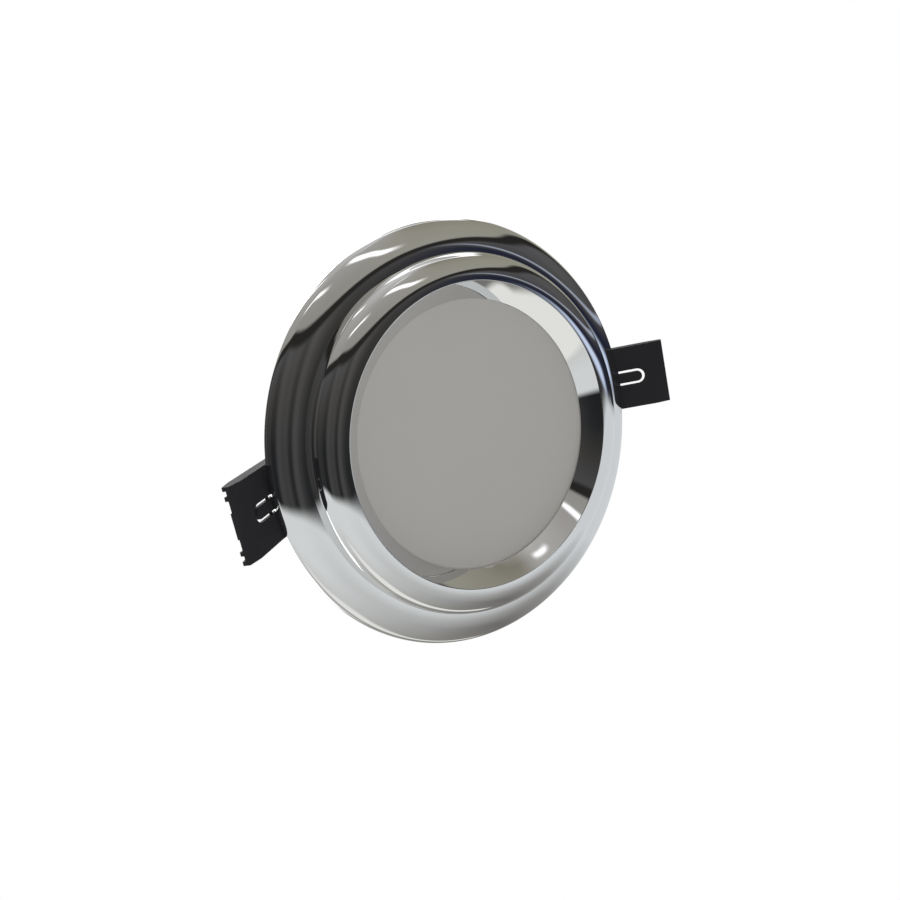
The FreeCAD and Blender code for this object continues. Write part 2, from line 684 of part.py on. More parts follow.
# The heat sink: a cast dish whose skirt is the spigot in the soffit's hole. Its floor carries the board
# below, and above it the fins, the pads for the clip brackets and the posts for the driver box.
def heat_sink():
    made = body("heat_sink")
    low_r = S.spigot_r - S.spigot_relief
    cavity_r = low_r - S.sink_wall
    turned(
        made,
        [
            (0, floor_z),
            (cavity_r, floor_z),
            (cavity_r, sink_z),
            (low_r, sink_z),
            (low_r, S.spigot_foot),
            (S.spigot_r, S.spigot_foot),
            (S.spigot_r, S.spigot_top),
            (0, S.spigot_top),
        ],
    )
    spot = [(ring_diagonal, ring_diagonal)]
    boss_sketch = circles(made, "XY_Plane", spot, S.sink_boss_r, lift=sink_z)
    boss = prism(made, boss_sketch, floor_z - sink_z)
    hole_sketch = circles(made, "XY_Plane", spot, shank_hole_r, lift=sink_z)
    hole = prism(made, hole_sketch, S.spigot_top - sink_z, "Pocket", back=True)
    around(made, [boss, hole], 4)
    middle = (S.fin_in_r + S.fin_out_r) / 2
    half = (S.fin_out_r - S.fin_in_r) / 2
    fin_section = rectangle(half, S.fin_thick / 2, x=middle)
    fin = prism(made, outline(made, "XY_Plane", fin_section, lift=S.spigot_top), S.fin_tall)
    around(made, [fin], int(S.fin_count.number))
    pad_middle = (bracket_in + bracket_out) / 2
    pad_half = (bracket_out - bracket_in) / 2
    pad_section = rectangle(pad_half, bracket_half_y, x=pad_middle)
    pad = prism(made, outline(made, "XY_Plane", pad_section, lift=S.spigot_top), S.fin_tall)
    around(made, [pad], 2)
    post_spots = [(S.base_screw_x, 0), (-S.base_screw_x, 0)]
    prism(made, circles(made, "XY_Plane", post_spots, S.sink_post_r, lift=S.spigot_top), S.fin_tall)
    passage = circles(made, "XY_Plane", [(0, S.lead_y)], S.lead_hole_r, lift=fins_z)
    prism(made, passage, fins_z, "Pocket")
    deep = S.base_screw_long - S.base_thick + S.blind_spare
    prism(made, circles(made, "XY_Plane", post_spots, shank_hole_r, lift=fins_z), deep, "Pocket")
    bracket_spots = [(pad_middle * a, S.bracket_screw_y * b) for a in (1, -1) for b in (1, -1)]
    bracket_deep = S.bracket_screw_long - S.bracket_thick + S.blind_spare
    holes = circles(made, "XY_Plane", bracket_spots, shank_hole_r, lift=fins_z)
    prism(made, holes, bracket_deep, "Pocket")
    below = circles(made, "XY_Plane", board_screw_spots, shank_hole_r, lift=floor_z)
    prism(made, below, S.sink_floor, "Pocket", back=True)
    return made


# The clips. Each is worked out on the +X side; the other is the same, turned half round the axis.
plate_to_hinge = S.sleeve_plate + S.wire_room + S.wire_r + S.coil_r
bracket_half_y = S.sleeve_wide / 2 + S.ear_gap + S.bracket_thick
hinge_x = rim_r + (plate_to_hinge + S.rim_gap - S.hinge_up * cosine(S.droop)) / sine(S.droop)
bracket_out = hinge_x - S.bracket_to_hinge
bracket_in = bracket_out - S.bracket_long
bracket_top_z = fins_z + S.bracket_thick


# The bracket: bent sheet, with a base screwed to the heat sink's pad and two ears that hold the pin.
def clip_bracket(label, turn):
    made = body(label)
    middle = (bracket_in + bracket_out) / 2
    half = (bracket_out - bracket_in) / 2
    base = outline(made, "XY_Plane", rectangle(half, bracket_half_y, x=middle), lift=fins_z)
    prism(made, base, S.bracket_thick)
    ear = [
        (middle, fins_z),
        (bracket_out, fins_z),
        (hinge_x, S.hinge_up - S.ear_r, S.ear_r),
        (hinge_x + S.ear_r, S.hinge_up, S.ear_r),
        (hinge_x, S.hinge_up + S.ear_r),
        (middle, bracket_top_z),
    ]
    prism(made, outline(made, "XZ_Plane", ear), bracket_half_y * 2, side="Symmetric")
    clear_y = bracket_half_y - S.bracket_thick
    tall = S.hinge_up + S.ear_r - bracket_top_z
    gap = rectangle(bracket_out, tall / 2, x=middle, y=bracket_top_z + tall / 2)
    prism(made, outline(made, "XZ_Plane", gap), clear_y * 2, "Pocket", side="Symmetric")
    beyond = rectangle(S.ear_r * 2, S.bracket_thick, x=bracket_out + S.ear_r * 2, y=bracket_top_z)
    prism(made, outline(made, "XZ_Plane", beyond), clear_y * 2, "Pocket", side="Symmetric")
    bore = circles(made, "XZ_Plane", [(hinge_x, S.hinge_up)], S.pin_r + S.pin_gap)
    prism(made, bore, bracket_half_y * 2, "Pocket", side="Symmetric")
    spots = [(middle, S.bracket_screw_y), (middle, -S.bracket_screw_y)]
    holes = circles(made, "XY_Plane", spots, shank_hole_r, lift=bracket_top_z)
    prism(made, holes, S.bracket_thick, "Pocket")
    return place(made, turn=turn)


# The hinge pin: a rivet whose heads lie outside the bracket's ears.
def hinge_pin(label, turn):
    made = body(label)
    seat = bracket_half_y + S.pin_gap
    end = seat + S.pin_head_tall
    turned(
        made,
        [
            (0, -end),
            (S.pin_head_top_r, -end),
            (S.pin_head_r, -seat - S.pin_head_tall / 2),
            (S.pin_head_r, -seat),
            (S.pin_r, -seat),
            (S.pin_r, seat),
            (S.pin_head_r, seat),
            (S.pin_head_r, seat + S.pin_head_tall / 2),
            (S.pin_head_top_r, end),
            (0, end),
        ],
    )
    lie = FreeCAD.Rotation(V(0, 0, 1), turn) * FreeCAD.Rotation(V(1, 0, 0), 90)
    side = math.cos(math.radians(turn))
    place(made, hinge_x * side, 0, S.hinge_up)
    made.Placement = FreeCAD.Placement(made.Placement.Base, lie)
    return made


# The spring: one wire, from a tail on the bracket round a coil to an arm in the sleeve, across the
# crossbar, and back the same way on the other side.
def biarc(start, leave, stop, arrive):
    """Two arcs from start to stop that leave and arrive along the given unit directions."""
    chord = stop - start
    both = leave + arrive
    spread = 2 * (1 - leave.dot(arrive))
    across = chord.dot(both)
    reach = (math.sqrt(across**2 + spread * chord.dot(chord)) - across) / spread
    first = start + leave * reach
    second = stop - arrive * reach
    joint = (first + second) / 2
    return [bend(start, first, joint), bend(joint, second, stop)]


def bend(start, corner, stop):
    """The arc from start to stop whose end tangents meet at the corner."""
    middle = (start + stop) / 2
    half = (stop - start).Length / 2
    turn = math.acos(half / (corner - start).Length)
    top = middle + (corner - middle).normalize() * (half * math.tan(turn / 2))
    return Part.Arc(start, top, stop).toShape()


def spring_half(side):
    """The wire from the middle of the crossbar to one tail, on the side y > 0 or y < 0."""
    droop = math.radians(S.droop.number)
    coil_r = S.coil_r.number
    along = V(math.cos(droop), 0, -math.sin(droop))
    inwards = V(0, -side, 0)
    foot = V(-coil_r * math.sin(droop), side * arm_y.number, -coil_r * math.cos(droop))
    corner_r = S.wire_corner_r.number
    turn_in = foot + along * S.crossbar_at.number
    arm_end = turn_in - along * corner_r
    crossbar_end = turn_in + inwards * corner_r
    edges = [
        Part.LineSegment(foot, arm_end).toShape(),
        bend(arm_end, turn_in, crossbar_end),
    ]
    whole = 2 * math.pi * S.coil_turns.number - droop
    quarters = round(whole / (math.pi / 2))
    rise = side * (arm_y.number - S.tail_y.number)
    spots = []
    for k in range(quarters + 1):
        part = k / quarters
        angle = -math.pi / 2 + whole * part
        spot = V(coil_r * math.cos(angle), side * S.tail_y.number + rise * part, coil_r * math.sin(angle))
        climb = rise if 0 < k < quarters else 0
        heading = V(-coil_r * whole * math.sin(angle), climb, coil_r * whole * math.cos(angle))
        spots.append((spot, heading.normalize()))
    for (spot, heading), (after, arriving) in zip(spots, spots[1:]):
        edges += biarc(spot, heading, after, arriving)
    tail = spots[0][0]
    edges.append(Part.LineSegment(tail - V(S.tail_long.number, 0, 0), tail).toShape())
    return edges, crossbar_end


def least_gap(points, wire):
    """The least gap between turns of the coil: one turn on, along its axis, less the wire's thickness."""
    next_turn = round(len(points) / S.coil_turns.number * 3 / 4)
    gaps = []
    for k, point in enumerate(points):
        for other in points[k + next_turn :]:
            gaps.append((point - other).Length - 2 * wire)
    return min(gaps)


def clip_spring(label, turn):
    made = doc.addObject("Part::Feature", label)
    made.Label = label
    upper, upper_end = spring_half(1)
    lower, lower_end = spring_half(-1)
    crossbar = Part.LineSegment(upper_end, lower_end).toShape()
    path = Part.Wire(Part.sortEdges(upper + [crossbar] + lower)[0])
    first = path.OrderedEdges[0]
    start = first.valueAt(first.FirstParameter)
    ends = [v.Point for v in path.OrderedVertexes]
    if (ends[0] - start).Length > CLOSE:
        start = ends[0]
    circle = Part.Circle(start, V(1, 0, 0), S.wire_r.number)
    made.Shape = path.makePipeShell([Part.Wire(circle.toShape())], True, False)
    coil = [edge.valueAt(edge.LastParameter) for edge in upper[2:-1]]
    print(f"{label}: least gap between turns {least_gap(coil, S.wire_r.number):.2f} mm")
    side = math.cos(math.radians(turn))
    return place(made, hinge_x * side, 0, S.hinge_up, turn=turn)


# The sleeve: a black plastic shoe round the spring's arms. It is drawn flat, with X out from the hinge
# and its front face below, and then tilted down to its resting place on the bezel's rim.
front_z = -plate_to_hinge
plate_z = front_z + S.sleeve_plate
channel_out_y = S.sleeve_wide / 2 - S.flange_thick
arm_y = channel_out_y - S.wire_room / 2 - S.wire_r
rib_out_y = arm_y - S.wire_r - S.wire_room
rib_in_y = rib_out_y - S.rib_thick
tip_x = S.sleeve_bend + S.lip_long * cosine(S.lip_bend)
tip_z = front_z + S.lip_long * sine(S.lip_bend)


def sleeve_back(start, drop):
    """Section of a rib or block on the sleeve's back from a start to the tip, below the flanges' top."""
    return [
        (start, plate_z - S.sleeve_plate / 2),
        (S.sleeve_bend, plate_z - S.sleeve_plate / 2),
        (tip_x, tip_z + S.sleeve_plate / 2),
        (tip_x, tip_z + S.lip_tall - drop),
        (S.sleeve_bend, front_z + S.sleeve_deep - S.lip_tall / 2 - drop),
        (start, front_z + S.sleeve_deep - S.lip_tall / 2 - drop),
    ]


def clip_sleeve(label, turn):
    made = body(label)
    top = front_z + S.sleeve_deep
    full = [
        (S.sleeve_start, front_z),
        (S.sleeve_bend, front_z),
        (tip_x, tip_z),
        (tip_x, tip_z + S.lip_tall),
        (S.sleeve_bend, top),
        (S.sleeve_start, top),
    ]
    prism(made, outline(made, "XZ_Plane", full), S.sleeve_wide, side="Symmetric")
    past_x = tip_x + S.lip_long * cosine(S.lip_bend)
    hollow = [
        (S.sleeve_start - S.sleeve_plate, plate_z),
        (S.sleeve_bend, plate_z),
        (past_x, plate_z + 2 * S.lip_long * sine(S.lip_bend)),
        (past_x, top + S.sleeve_plate),
        (S.sleeve_start - S.sleeve_plate, top + S.sleeve_plate),
    ]
    prism(made, outline(made, "XZ_Plane", hollow), channel_out_y * 2, "Pocket", side="Symmetric")
    rib_end = S.crossbar_at - S.wire_corner_r - S.wire_r
    middle = (S.sleeve_start + rib_end) / 2
    rib_half = S.sleeve_deep / 2 - S.wire_room
    rib = rectangle(rib_end - middle, rib_half, x=middle, y=front_z + S.sleeve_deep / 2)
    prism(made, outline(made, "XZ_Plane", rib), rib_out_y * 2, side="Symmetric")
    after_bar = S.crossbar_at + S.wire_r + S.wire_room
    prism(made, outline(made, "XZ_Plane", sleeve_back(after_bar, 0)), rib_out_y * 2, side="Symmetric")
    prism(made, outline(made, "XZ_Plane", hollow), rib_in_y * 2, "Pocket", side="Symmetric")
    block = outline(made, "XZ_Plane", sleeve_back(after_bar, S.block_drop))
    prism(made, block, S.block_half * 2, side="Symmetric")
    over_wire_z = -S.coil_r + S.wire_r + S.wire_room
    catch_half = (top - over_wire_z) / 2
    for start in (S.catch_near, S.catch_far):
        catch_middle = start + S.catch_long / 2
        catch = rectangle(S.catch_long / 2, catch_half, x=catch_middle, y=over_wire_z + catch_half)
        for lift in (-channel_out_y, rib_out_y):
            prism(made, outline(made, "XZ_Plane", catch, lift=lift), channel_out_y - rib_out_y)
    round_x = S.slit_end - S.slit_half
    slot = tongue_shape(S.slit_start, round_x, S.slit_half)
    prism(made, outline(made, "XY_Plane", slot, lift=plate_z), S.sleeve_plate, "Pocket")
    tongue = tongue_shape(S.slit_start, round_x, S.slit_half - S.slit_wide)
    prism(made, outline(made, "XY_Plane", tongue, lift=front_z), S.sleeve_plate)
    web = rectangle(S.web_thick / 2, S.slit_half + S.slit_wide, x=S.web_at)
    prism(made, outline(made, "XY_Plane", web, lift=plate_z), S.slit_wide, back=True)
    side = math.cos(math.radians(turn))
    return place(made, hinge_x * side, 0, S.hinge_up, turn=turn, tilt=S.droop)


def tongue_shape(start, round_x, half):
    """Corners of a strip from start, with a half-round end about round_x."""
    return [(start, -half), (round_x, -half, half), (round_x, half), (start, half)]


# The driver box: a base screwed to the heat sink, a circuit board on standoffs, and a cover.
def driver_base():
    made = body("driver_base")
    sides = rectangle(case_half_x, case_half_y)
    prism(made, outline(made, "XY_Plane", sides, lift=base_z), S.base_thick)
    rounded(made, S.case_corner_r, upright)
    posts = circles(made, "XY_Plane", corner_spots(post_x, post_y), S.post_r, lift=cover_z)
    prism(made, posts, case_tall - S.case_wall - S.post_gap)
    stands = circles(made, "XY_Plane", corner_spots(stand_x, stand_y), S.standoff_r, lift=cover_z)
    prism(made, stands, S.standoff_tall)
    post_top = ceiling_of_case_z - S.post_gap
    holes = circles(made, "XY_Plane", corner_spots(post_x, post_y), shank_hole_r, lift=post_top)
    prism(made, holes, S.cover_screw_long, "Pocket")
    spots = [(S.base_screw_x, 0), (-S.base_screw_x, 0)]
    prism(made, circles(made, "XY_Plane", spots, shank_hole_r, lift=cover_z), S.base_thick, "Pocket")
    passage = circles(made, "XY_Plane", [(0, S.lead_y)], S.lead_hole_r, lift=cover_z)
    prism(made, passage, S.base_thick, "Pocket")
    return made


stand_x = S.circuit_long / 2 - S.standoff_in
stand_y = S.circuit_wide / 2 - S.standoff_in


def corner_spots(x, y):
    return [(x, y), (-x, y), (-x, -y), (x, -y)]


# The cover: a moulded cap with a round hole in its +Y side for the mains cable's grommet.
def driver_cover():
    made = body("driver_cover")
    sides = rectangle(case_half_x, case_half_y)
    prism(made, outline(made, "XY_Plane", sides, lift=cover_z), case_tall)
    rounded(made, S.case_corner_r, upright)
    top = (cover_z + case_tall).number
    rounded(made, S.case_edge_r, lambda edge: min(v.Z for v in edge.Vertexes) > top - CLOSE)
    inside = rectangle(case_half_x - S.case_wall, case_half_y - S.case_wall)
    hollow = outline(made, "XY_Plane", inside, lift=cover_z)
    prism(made, hollow, case_tall - S.case_wall, "Pocket", back=True)
    holes = circles(made, "XY_Plane", corner_spots(post_x, post_y), shank_hole_r, lift=cover_z + case_tall)
    prism(made, holes, S.case_wall, "Pocket")
    entry = circles(made, "XZ_Plane", [(0, entry_z)], S.entry_hole_r, lift=-case_half_y)
    prism(made, entry, S.case_wall, "Pocket", back=True)
    return made


entry_z = cover_z + S.entry_up


# The grommet: soft rubber, with a groove that grips the cover's wall. The mains cable goes through it.
def cable_grommet():
    made = body("cable_grommet")
    flange_r = S.entry_hole_r + S.grommet_flange
    neck_r = S.entry_hole_r - S.screw_gap
    wall_low = S.grommet_lip
    wall_high = wall_low + S.case_wall
    turned(
        made,
        [
            (S.entry_bore_r, 0),
            (flange_r, 0),
            (flange_r, wall_low - S.screw_gap),
            (neck_r, wall_low - S.screw_gap),
            (neck_r, wall_high + S.screw_gap),
            (flange_r, wall_high + S.screw_gap),
            (flange_r - S.grommet_flange, S.grommet_long),
            (S.entry_bore_r, S.grommet_long),
        ],
    )
    place(made, 0, case_half_y - S.case_wall - S.grommet_lip, entry_z)
    made.Placement = FreeCAD.Placement(made.Placement.Base, FreeCAD.Rotation(V(1, 0, 0), -90))
    return made


def circuit_board():
    made = body("circuit_board")
    section = rectangle(S.circuit_long / 2, S.circuit_wide / 2)
    prism(made, outline(made, "XY_Plane", section, lift=circuit_z), S.circuit_thick)
    leads = circles(made, "XY_Plane", lead_spots, S.lead_r + S.screw_gap, lift=parts_z)
    prism(made, leads, S.circuit_thick, "Pocket")
    return made


def leads():
    """Two insulated leads from the circuit board down through the heat sink to the board below."""
    wires = []
    for x, y in lead_spots:
        wire = doc.addObject("Part::Cylinder", "lead")
        bind(wire, "Radius", S.lead_r)
        bind(wire, "Height", parts_z - board_z)
        wires.append(place(wire, x, y, board_z))
    return group("led_leads", wires)


def brick(label, x, y, long, wide, tall):
    """A plain block that stands on the circuit board, centred at (x, y)."""
    made = doc.addObject("Part::Box", label)
    bind(made, "Length", long)
    bind(made, "Width", wide)
    bind(made, "Height", tall)
    return place(made, x - long / 2, y - wide / 2, parts_z)


def transformer_core():
    made = body("transformer_core")
    section = rectangle(S.core_long / 2, S.core_tall / 2, y=S.core_tall / 2)
    prism(made, outline(made, "XZ_Plane", section), S.core_wide, side="Symmetric")
    window = rectangle(S.core_long / 2 - S.core_limb, S.core_tall / 2 - S.core_limb, y=S.core_tall / 2)
    prism(made, outline(made, "XZ_Plane", window), S.core_wide, "Pocket", side="Symmetric")
    return place(made, S.core_x, S.core_y, parts_z)


def transformer_winding():
    long = S.core_long - 2 * (S.core_limb + S.winding_gap)
    tall = S.core_tall - 2 * (S.core_limb + S.winding_gap)
    made = brick("transformer_winding", S.core_x, S.core_y, long, S.core_wide + 2 * S.winding_out, tall)
    return place(
        made,
        S.core_x - long / 2,
        S.core_y - S.core_wide / 2 - S.winding_out,
        parts_z + S.core_limb + S.winding_gap,
    )


def can(label, x, y, radius, tall):
    """An electrolytic capacitor: a can with a crimp near its foot and a rounded-off top."""
    made = body(label)
    crimp_r = radius - S.can_crimp
    turned(
        made,
        [
            (0, 0),
            (crimp_r, 0),
            (radius, S.can_crimp),
            (radius, S.can_crimp_up),
            (crimp_r, S.can_crimp_up + S.can_crimp),
            (radius, S.can_crimp_up + 2 * S.can_crimp),
            (radius, tall - S.can_crimp),
            (crimp_r, tall),
            (0, tall),
        ],
    )
    return place(made, x, y, parts_z)


def choke():
    made = body("choke")
    turned(
        made,
        [
            (0, 0),
            (S.choke_r, 0),
            (S.choke_r, S.choke_flange),
            (S.choke_wound_r, S.choke_flange),
            (S.choke_wound_r, S.choke_tall - S.choke_flange),
            (S.choke_r, S.choke_tall - S.choke_flange),
            (S.choke_r, S.choke_tall),
            (0, S.choke_tall),
        ],
    )
    return place(made, S.choke_x, S.choke_y, parts_z)


def fuse_resistor():
    made = doc.addObject("Part::Cylinder", "fuse_resistor")
    bind(made, "Radius", S.fuse_r)
    bind(made, "Height", S.fuse_tall)
    return place(made, S.fuse_x, S.fuse_y, parts_z)


# The terminal block: three poles, each with a wire entry that faces the grommet and a clamp screw.
def terminal_block():
    made = body("terminal_block")
    section = rectangle(S.block_long / 2, S.block_wide / 2)
    prism(made, outline(made, "XY_Plane", section), S.block_tall)
    poles = [(S.pole_pitch * k, S.wire_way_up) for k in (-1, 0, 1)]
    ways = circles(made, "XZ_Plane", poles, S.wire_way_r, lift=-S.block_wide / 2)
    prism(made, ways, S.wire_way_deep, "Pocket", back=True)
    wells = circles(made, "XY_Plane", pole_spots(), S.clamp_screw_r + S.screw_gap, lift=S.block_tall)
    prism(made, wells, S.block_tall - S.wire_way_up - S.wire_way_r, "Pocket")
    return place(made, 0, S.block_y, parts_z)


def pole_spots():
    return [(S.pole_pitch * k, 0) for k in (-1, 0, 1)]


def terminal_screws():
    made = []
    low = parts_z + S.wire_way_up + S.wire_way_r
    for x, _ in pole_spots():
        one = body("terminal_screw")
        prism(one, circles(one, "XY_Plane", [(0, 0)], S.clamp_screw_r), S.clamp_screw_long)
        across = rectangle(S.clamp_screw_r * 2, S.clamp_slot / 2)
        slot = outline(one, "XY_Plane", across, lift=S.clamp_screw_long)
        prism(one, slot, S.clamp_slot_deep, "Pocket")
        made.append(place(one, x, S.block_y, low))
    return group("terminal_screws", made)


# The whole light, from the bezel up.
node(bezel())
node(ceiling_gasket())
node(diffuser())
node(diffuser_seal())
node(reflector())
node(led_board())
node(led_chips())
node(thermal_pad())
board_shank = S.board_thick + S.pad_thick + S.sink_floor
node(screws("board_screws", board_shank, board_screw_spots, board_z, flip=True))
node(heat_sink())
ring_spots = corner_spots(ring_diagonal, ring_diagonal)
ring_shank = S.spigot_top - shoulder_z + S.ring_screw_reach
node(screws("ring_screws", ring_shank, ring_spots, S.spigot_top))
for side_name, half_turn in (("right", 0), ("left", 180)):
    node(clip_bracket(f"clip_bracket_{side_name}", half_turn))
    middle_x = (bracket_in + bracket_out) / 2 * (1 if side_name == "right" else -1)
    pair = [(middle_x, S.bracket_screw_y), (middle_x, -S.bracket_screw_y)]
    node(screws(f"bracket_screws_{side_name}", S.bracket_screw_long, pair, bracket_top_z))
    node(hinge_pin(f"hinge_pin_{side_name}", half_turn))
    node(clip_spring(f"clip_spring_{side_name}", half_turn))
    node(clip_sleeve(f"clip_sleeve_{side_name}", half_turn))
node(driver_base())
node(screws("base_screws", S.base_screw_long, [(S.base_screw_x, 0), (-S.base_screw_x, 0)], cover_z))
node(driver_cover())
node(screws("cover_screws", S.cover_screw_long, corner_spots(post_x, post_y), cover_z + case_tall))
node(cable_grommet())
node(circuit_board())
node(leads())
node(transformer_core())
node(transformer_winding())
node(can("input_capacitor", S.tall_can_x, S.tall_can_y, S.tall_can_r, S.tall_can_up))
node(can("output_capacitor", S.short_can_x, S.short_can_y, S.short_can_r, S.short_can_up))
node(brick("film_capacitor", S.film_x, S.film_y, S.film_long, S.film_wide, S.film_tall))
node(choke())
node(brick("rectifier", S.bridge_x, 0, S.bridge_long, S.bridge_wide, S.bridge_tall))
node(fuse_resistor())
node(terminal_block())
node(terminal_screws())

doc.recompute()
for thing in doc.Objects:
    if "Invalid" in thing.State or "Error" in thing.State:
        raise RuntimeError(f"{thing.Name} ({thing.Label}) is {thing.State}")
os.makedirs("parts", exist_ok=True)
for piece in nodes:
    if piece.Shape.isNull() or not piece.Shape.isValid():
        raise RuntimeError(f"{piece.Label} has no valid shape")
    piece.Shape.exportStep(f"parts/{piece.Label}.step")
print(f"{len(nodes)} nodes written")
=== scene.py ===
"""Looks for a recessed soffit downlight: chrome stepped bezel, opal diffuser, cast heat sink with
its driver box, and two sprung clips. Metres, in the frame's own place: +Z up into the soffit."""

import math

import bmesh
import bpy
import numpy as np
from mathutils import Matrix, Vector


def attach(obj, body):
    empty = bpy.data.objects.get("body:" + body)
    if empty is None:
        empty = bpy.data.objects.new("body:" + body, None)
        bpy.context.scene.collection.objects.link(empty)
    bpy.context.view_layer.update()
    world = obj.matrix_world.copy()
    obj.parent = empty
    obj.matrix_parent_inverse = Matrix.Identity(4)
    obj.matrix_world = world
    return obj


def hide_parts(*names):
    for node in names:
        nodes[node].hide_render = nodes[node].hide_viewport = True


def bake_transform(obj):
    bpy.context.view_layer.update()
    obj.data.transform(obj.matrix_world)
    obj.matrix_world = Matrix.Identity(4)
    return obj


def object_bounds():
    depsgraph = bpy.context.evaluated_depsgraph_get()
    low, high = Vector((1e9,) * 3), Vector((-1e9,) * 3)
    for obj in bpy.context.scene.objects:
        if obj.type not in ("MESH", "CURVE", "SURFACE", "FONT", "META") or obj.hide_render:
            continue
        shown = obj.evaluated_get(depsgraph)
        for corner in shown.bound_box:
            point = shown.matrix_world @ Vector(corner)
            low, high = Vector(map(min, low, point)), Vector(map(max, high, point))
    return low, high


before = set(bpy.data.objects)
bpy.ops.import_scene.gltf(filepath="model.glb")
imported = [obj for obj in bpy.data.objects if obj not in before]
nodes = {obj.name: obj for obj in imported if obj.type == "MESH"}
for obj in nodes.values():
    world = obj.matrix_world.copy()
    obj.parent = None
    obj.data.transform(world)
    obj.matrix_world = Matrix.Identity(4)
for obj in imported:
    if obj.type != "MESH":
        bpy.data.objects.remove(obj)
cad_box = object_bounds()
MM = 0.001


# ------------------------------------------------------------------------------------------------
# Bezel. A zinc casting with two rounded steps and a cut bevel, polished and plated in chrome. It
# is one section turned round the axis, with four bosses behind for the heat sink's screws. Sizes
# in millimetres, with z = 0 at the soffit's face.

STEP_ANGLE = 60.0
OUTER_R = 69.0
OUTER_WIDTH = 11.3
OUTER_SHOULDER = 2.7
CREASE_R = 57.7
CREASE_NICK = 0.02
INNER_DROP = 2.07
INNER_WIDTH = 9.2
INNER_SHOULDER = 4.6
CREST_EASE = 0.16
BEVEL_IN = 5.2
BEVEL_UP = 5.7
BEVEL_EASE = 0.12
LIP_R = 43.3
LIP_HIGH = 0.6
POCKET_R = 46.6
SHOULDER_Z = -2.6
CORING_IN_R = 48.2
CORING_OUT_R = 52.9
CORING_Z = -9.4
CORING_FALL = 0.8
SEAT_R = 54.2
GROOVE_IN_R = 58.4
GROOVE_OUT_R = 66.4
GROOVE_DEEP = 1.6
BOSS_CIRCLE = 50.3
BOSS_R = 2.6
BOSS_HOLE_R = 1.55
BOSS_SINK = 0.2
BOSS_COUNT = 4
BOSS_FIRST = 45
ARC_POINTS = 24
EASE_POINTS = 7
RING_POINTS = 288
BOSS_POINTS = 48
TURNED_SHARP = 35


def arc(centre_r, centre_z, radius, start, stop):
    """Section points (radius, height): the centre plus radius times (cosine, sine), from start to
    stop degrees."""
    angle = np.radians(np.linspace(start, stop, ARC_POINTS))
    return np.c_[centre_r + radius * np.cos(angle), centre_z + radius * np.sin(angle)]


def step_section(outside_r, top_z, width, shoulder):
    """One step: a tight shoulder arc to STEP_ANGLE, then a wide crown arc, tangent to it, that ends
    level. The crown's radius makes the two arcs' spans add up to the width."""
    lean = math.radians(STEP_ANGLE)
    crown = (width - shoulder * (1 - math.cos(lean))) / math.cos(lean)
    first = arc(outside_r - shoulder, top_z, shoulder, 0, -STEP_ANGLE)
    centre_r = first[-1, 0] - crown * math.cos(lean)
    centre_z = first[-1, 1] + crown * math.sin(lean)
    return np.vstack([first, arc(centre_r, centre_z, crown, -STEP_ANGLE, -90)[1:]])


def eased(before, corner, after, reach):
    """A corner softened by a quadratic curve, (1-t)^2 start + 2t(1-t) corner + t^2 stop, which
    starts and ends at reach from the corner, towards before and after."""
    before, corner, after = (np.array(p, float) for p in (before, corner, after))
    start = corner + (before - corner) * reach / np.linalg.norm(before - corner)
    stop = corner + (after - corner) * reach / np.linalg.norm(after - corner)
    t = np.linspace(0, 1, EASE_POINTS)[:, None]
    return (1 - t) ** 2 * start + 2 * t * (1 - t) * corner + t**2 * stop


def placed(name, data):
    """An object of a mesh, lamp or camera, put in the scene."""
    made = bpy.data.objects.new(name, data)
    bpy.context.scene.collection.objects.link(made)
    return made


def smooth_piece(name, mesh, sharp):
    """An object of a mesh, smooth-shaded, whose edges sharper than the given degrees stay crisp."""
    mesh.shade_smooth()
    mesh.set_sharp_from_angle(angle=math.radians(sharp))
    return placed(name, mesh)


def grid_faces(rows, columns, close_rows):
    """Quads between each point (i, j) of a grid and its next in i and j. The columns join end to
    start, and the rows do where asked."""
    i = np.arange(rows if close_rows else rows - 1)[:, None]
    j = np.arange(columns)[None, :]
    i2 = (i + 1) % rows
    j2 = (j + 1) % columns
    quads = [i * columns + j, i2 * columns + j, i2 * columns + j2, i * columns + j2]
    return np.stack([np.broadcast_to(q, (len(i), columns)) for q in quads], -1).reshape(-1, 4)


def turned_piece(name, section, around):
    """A closed section carried round the Z axis: each (r, z) runs through (r cos a, r sin a, z)."""
    turn = np.linspace(0, 2 * np.pi, around, endpoint=False)
    r, z = section[:, 0], section[:, 1]
    points = np.stack(
        [np.outer(r, np.cos(turn)), np.outer(r, np.sin(turn)), np.outer(z, np.ones(around))], -1
    )
    faces = grid_faces(len(section), around, close_rows=True)
    mesh = bpy.data.meshes.new(name)
    mesh.from_pydata((points.reshape(-1, 3) * MM).tolist(), [], faces.tolist())
    return smooth_piece(name, mesh, TURNED_SHARP)


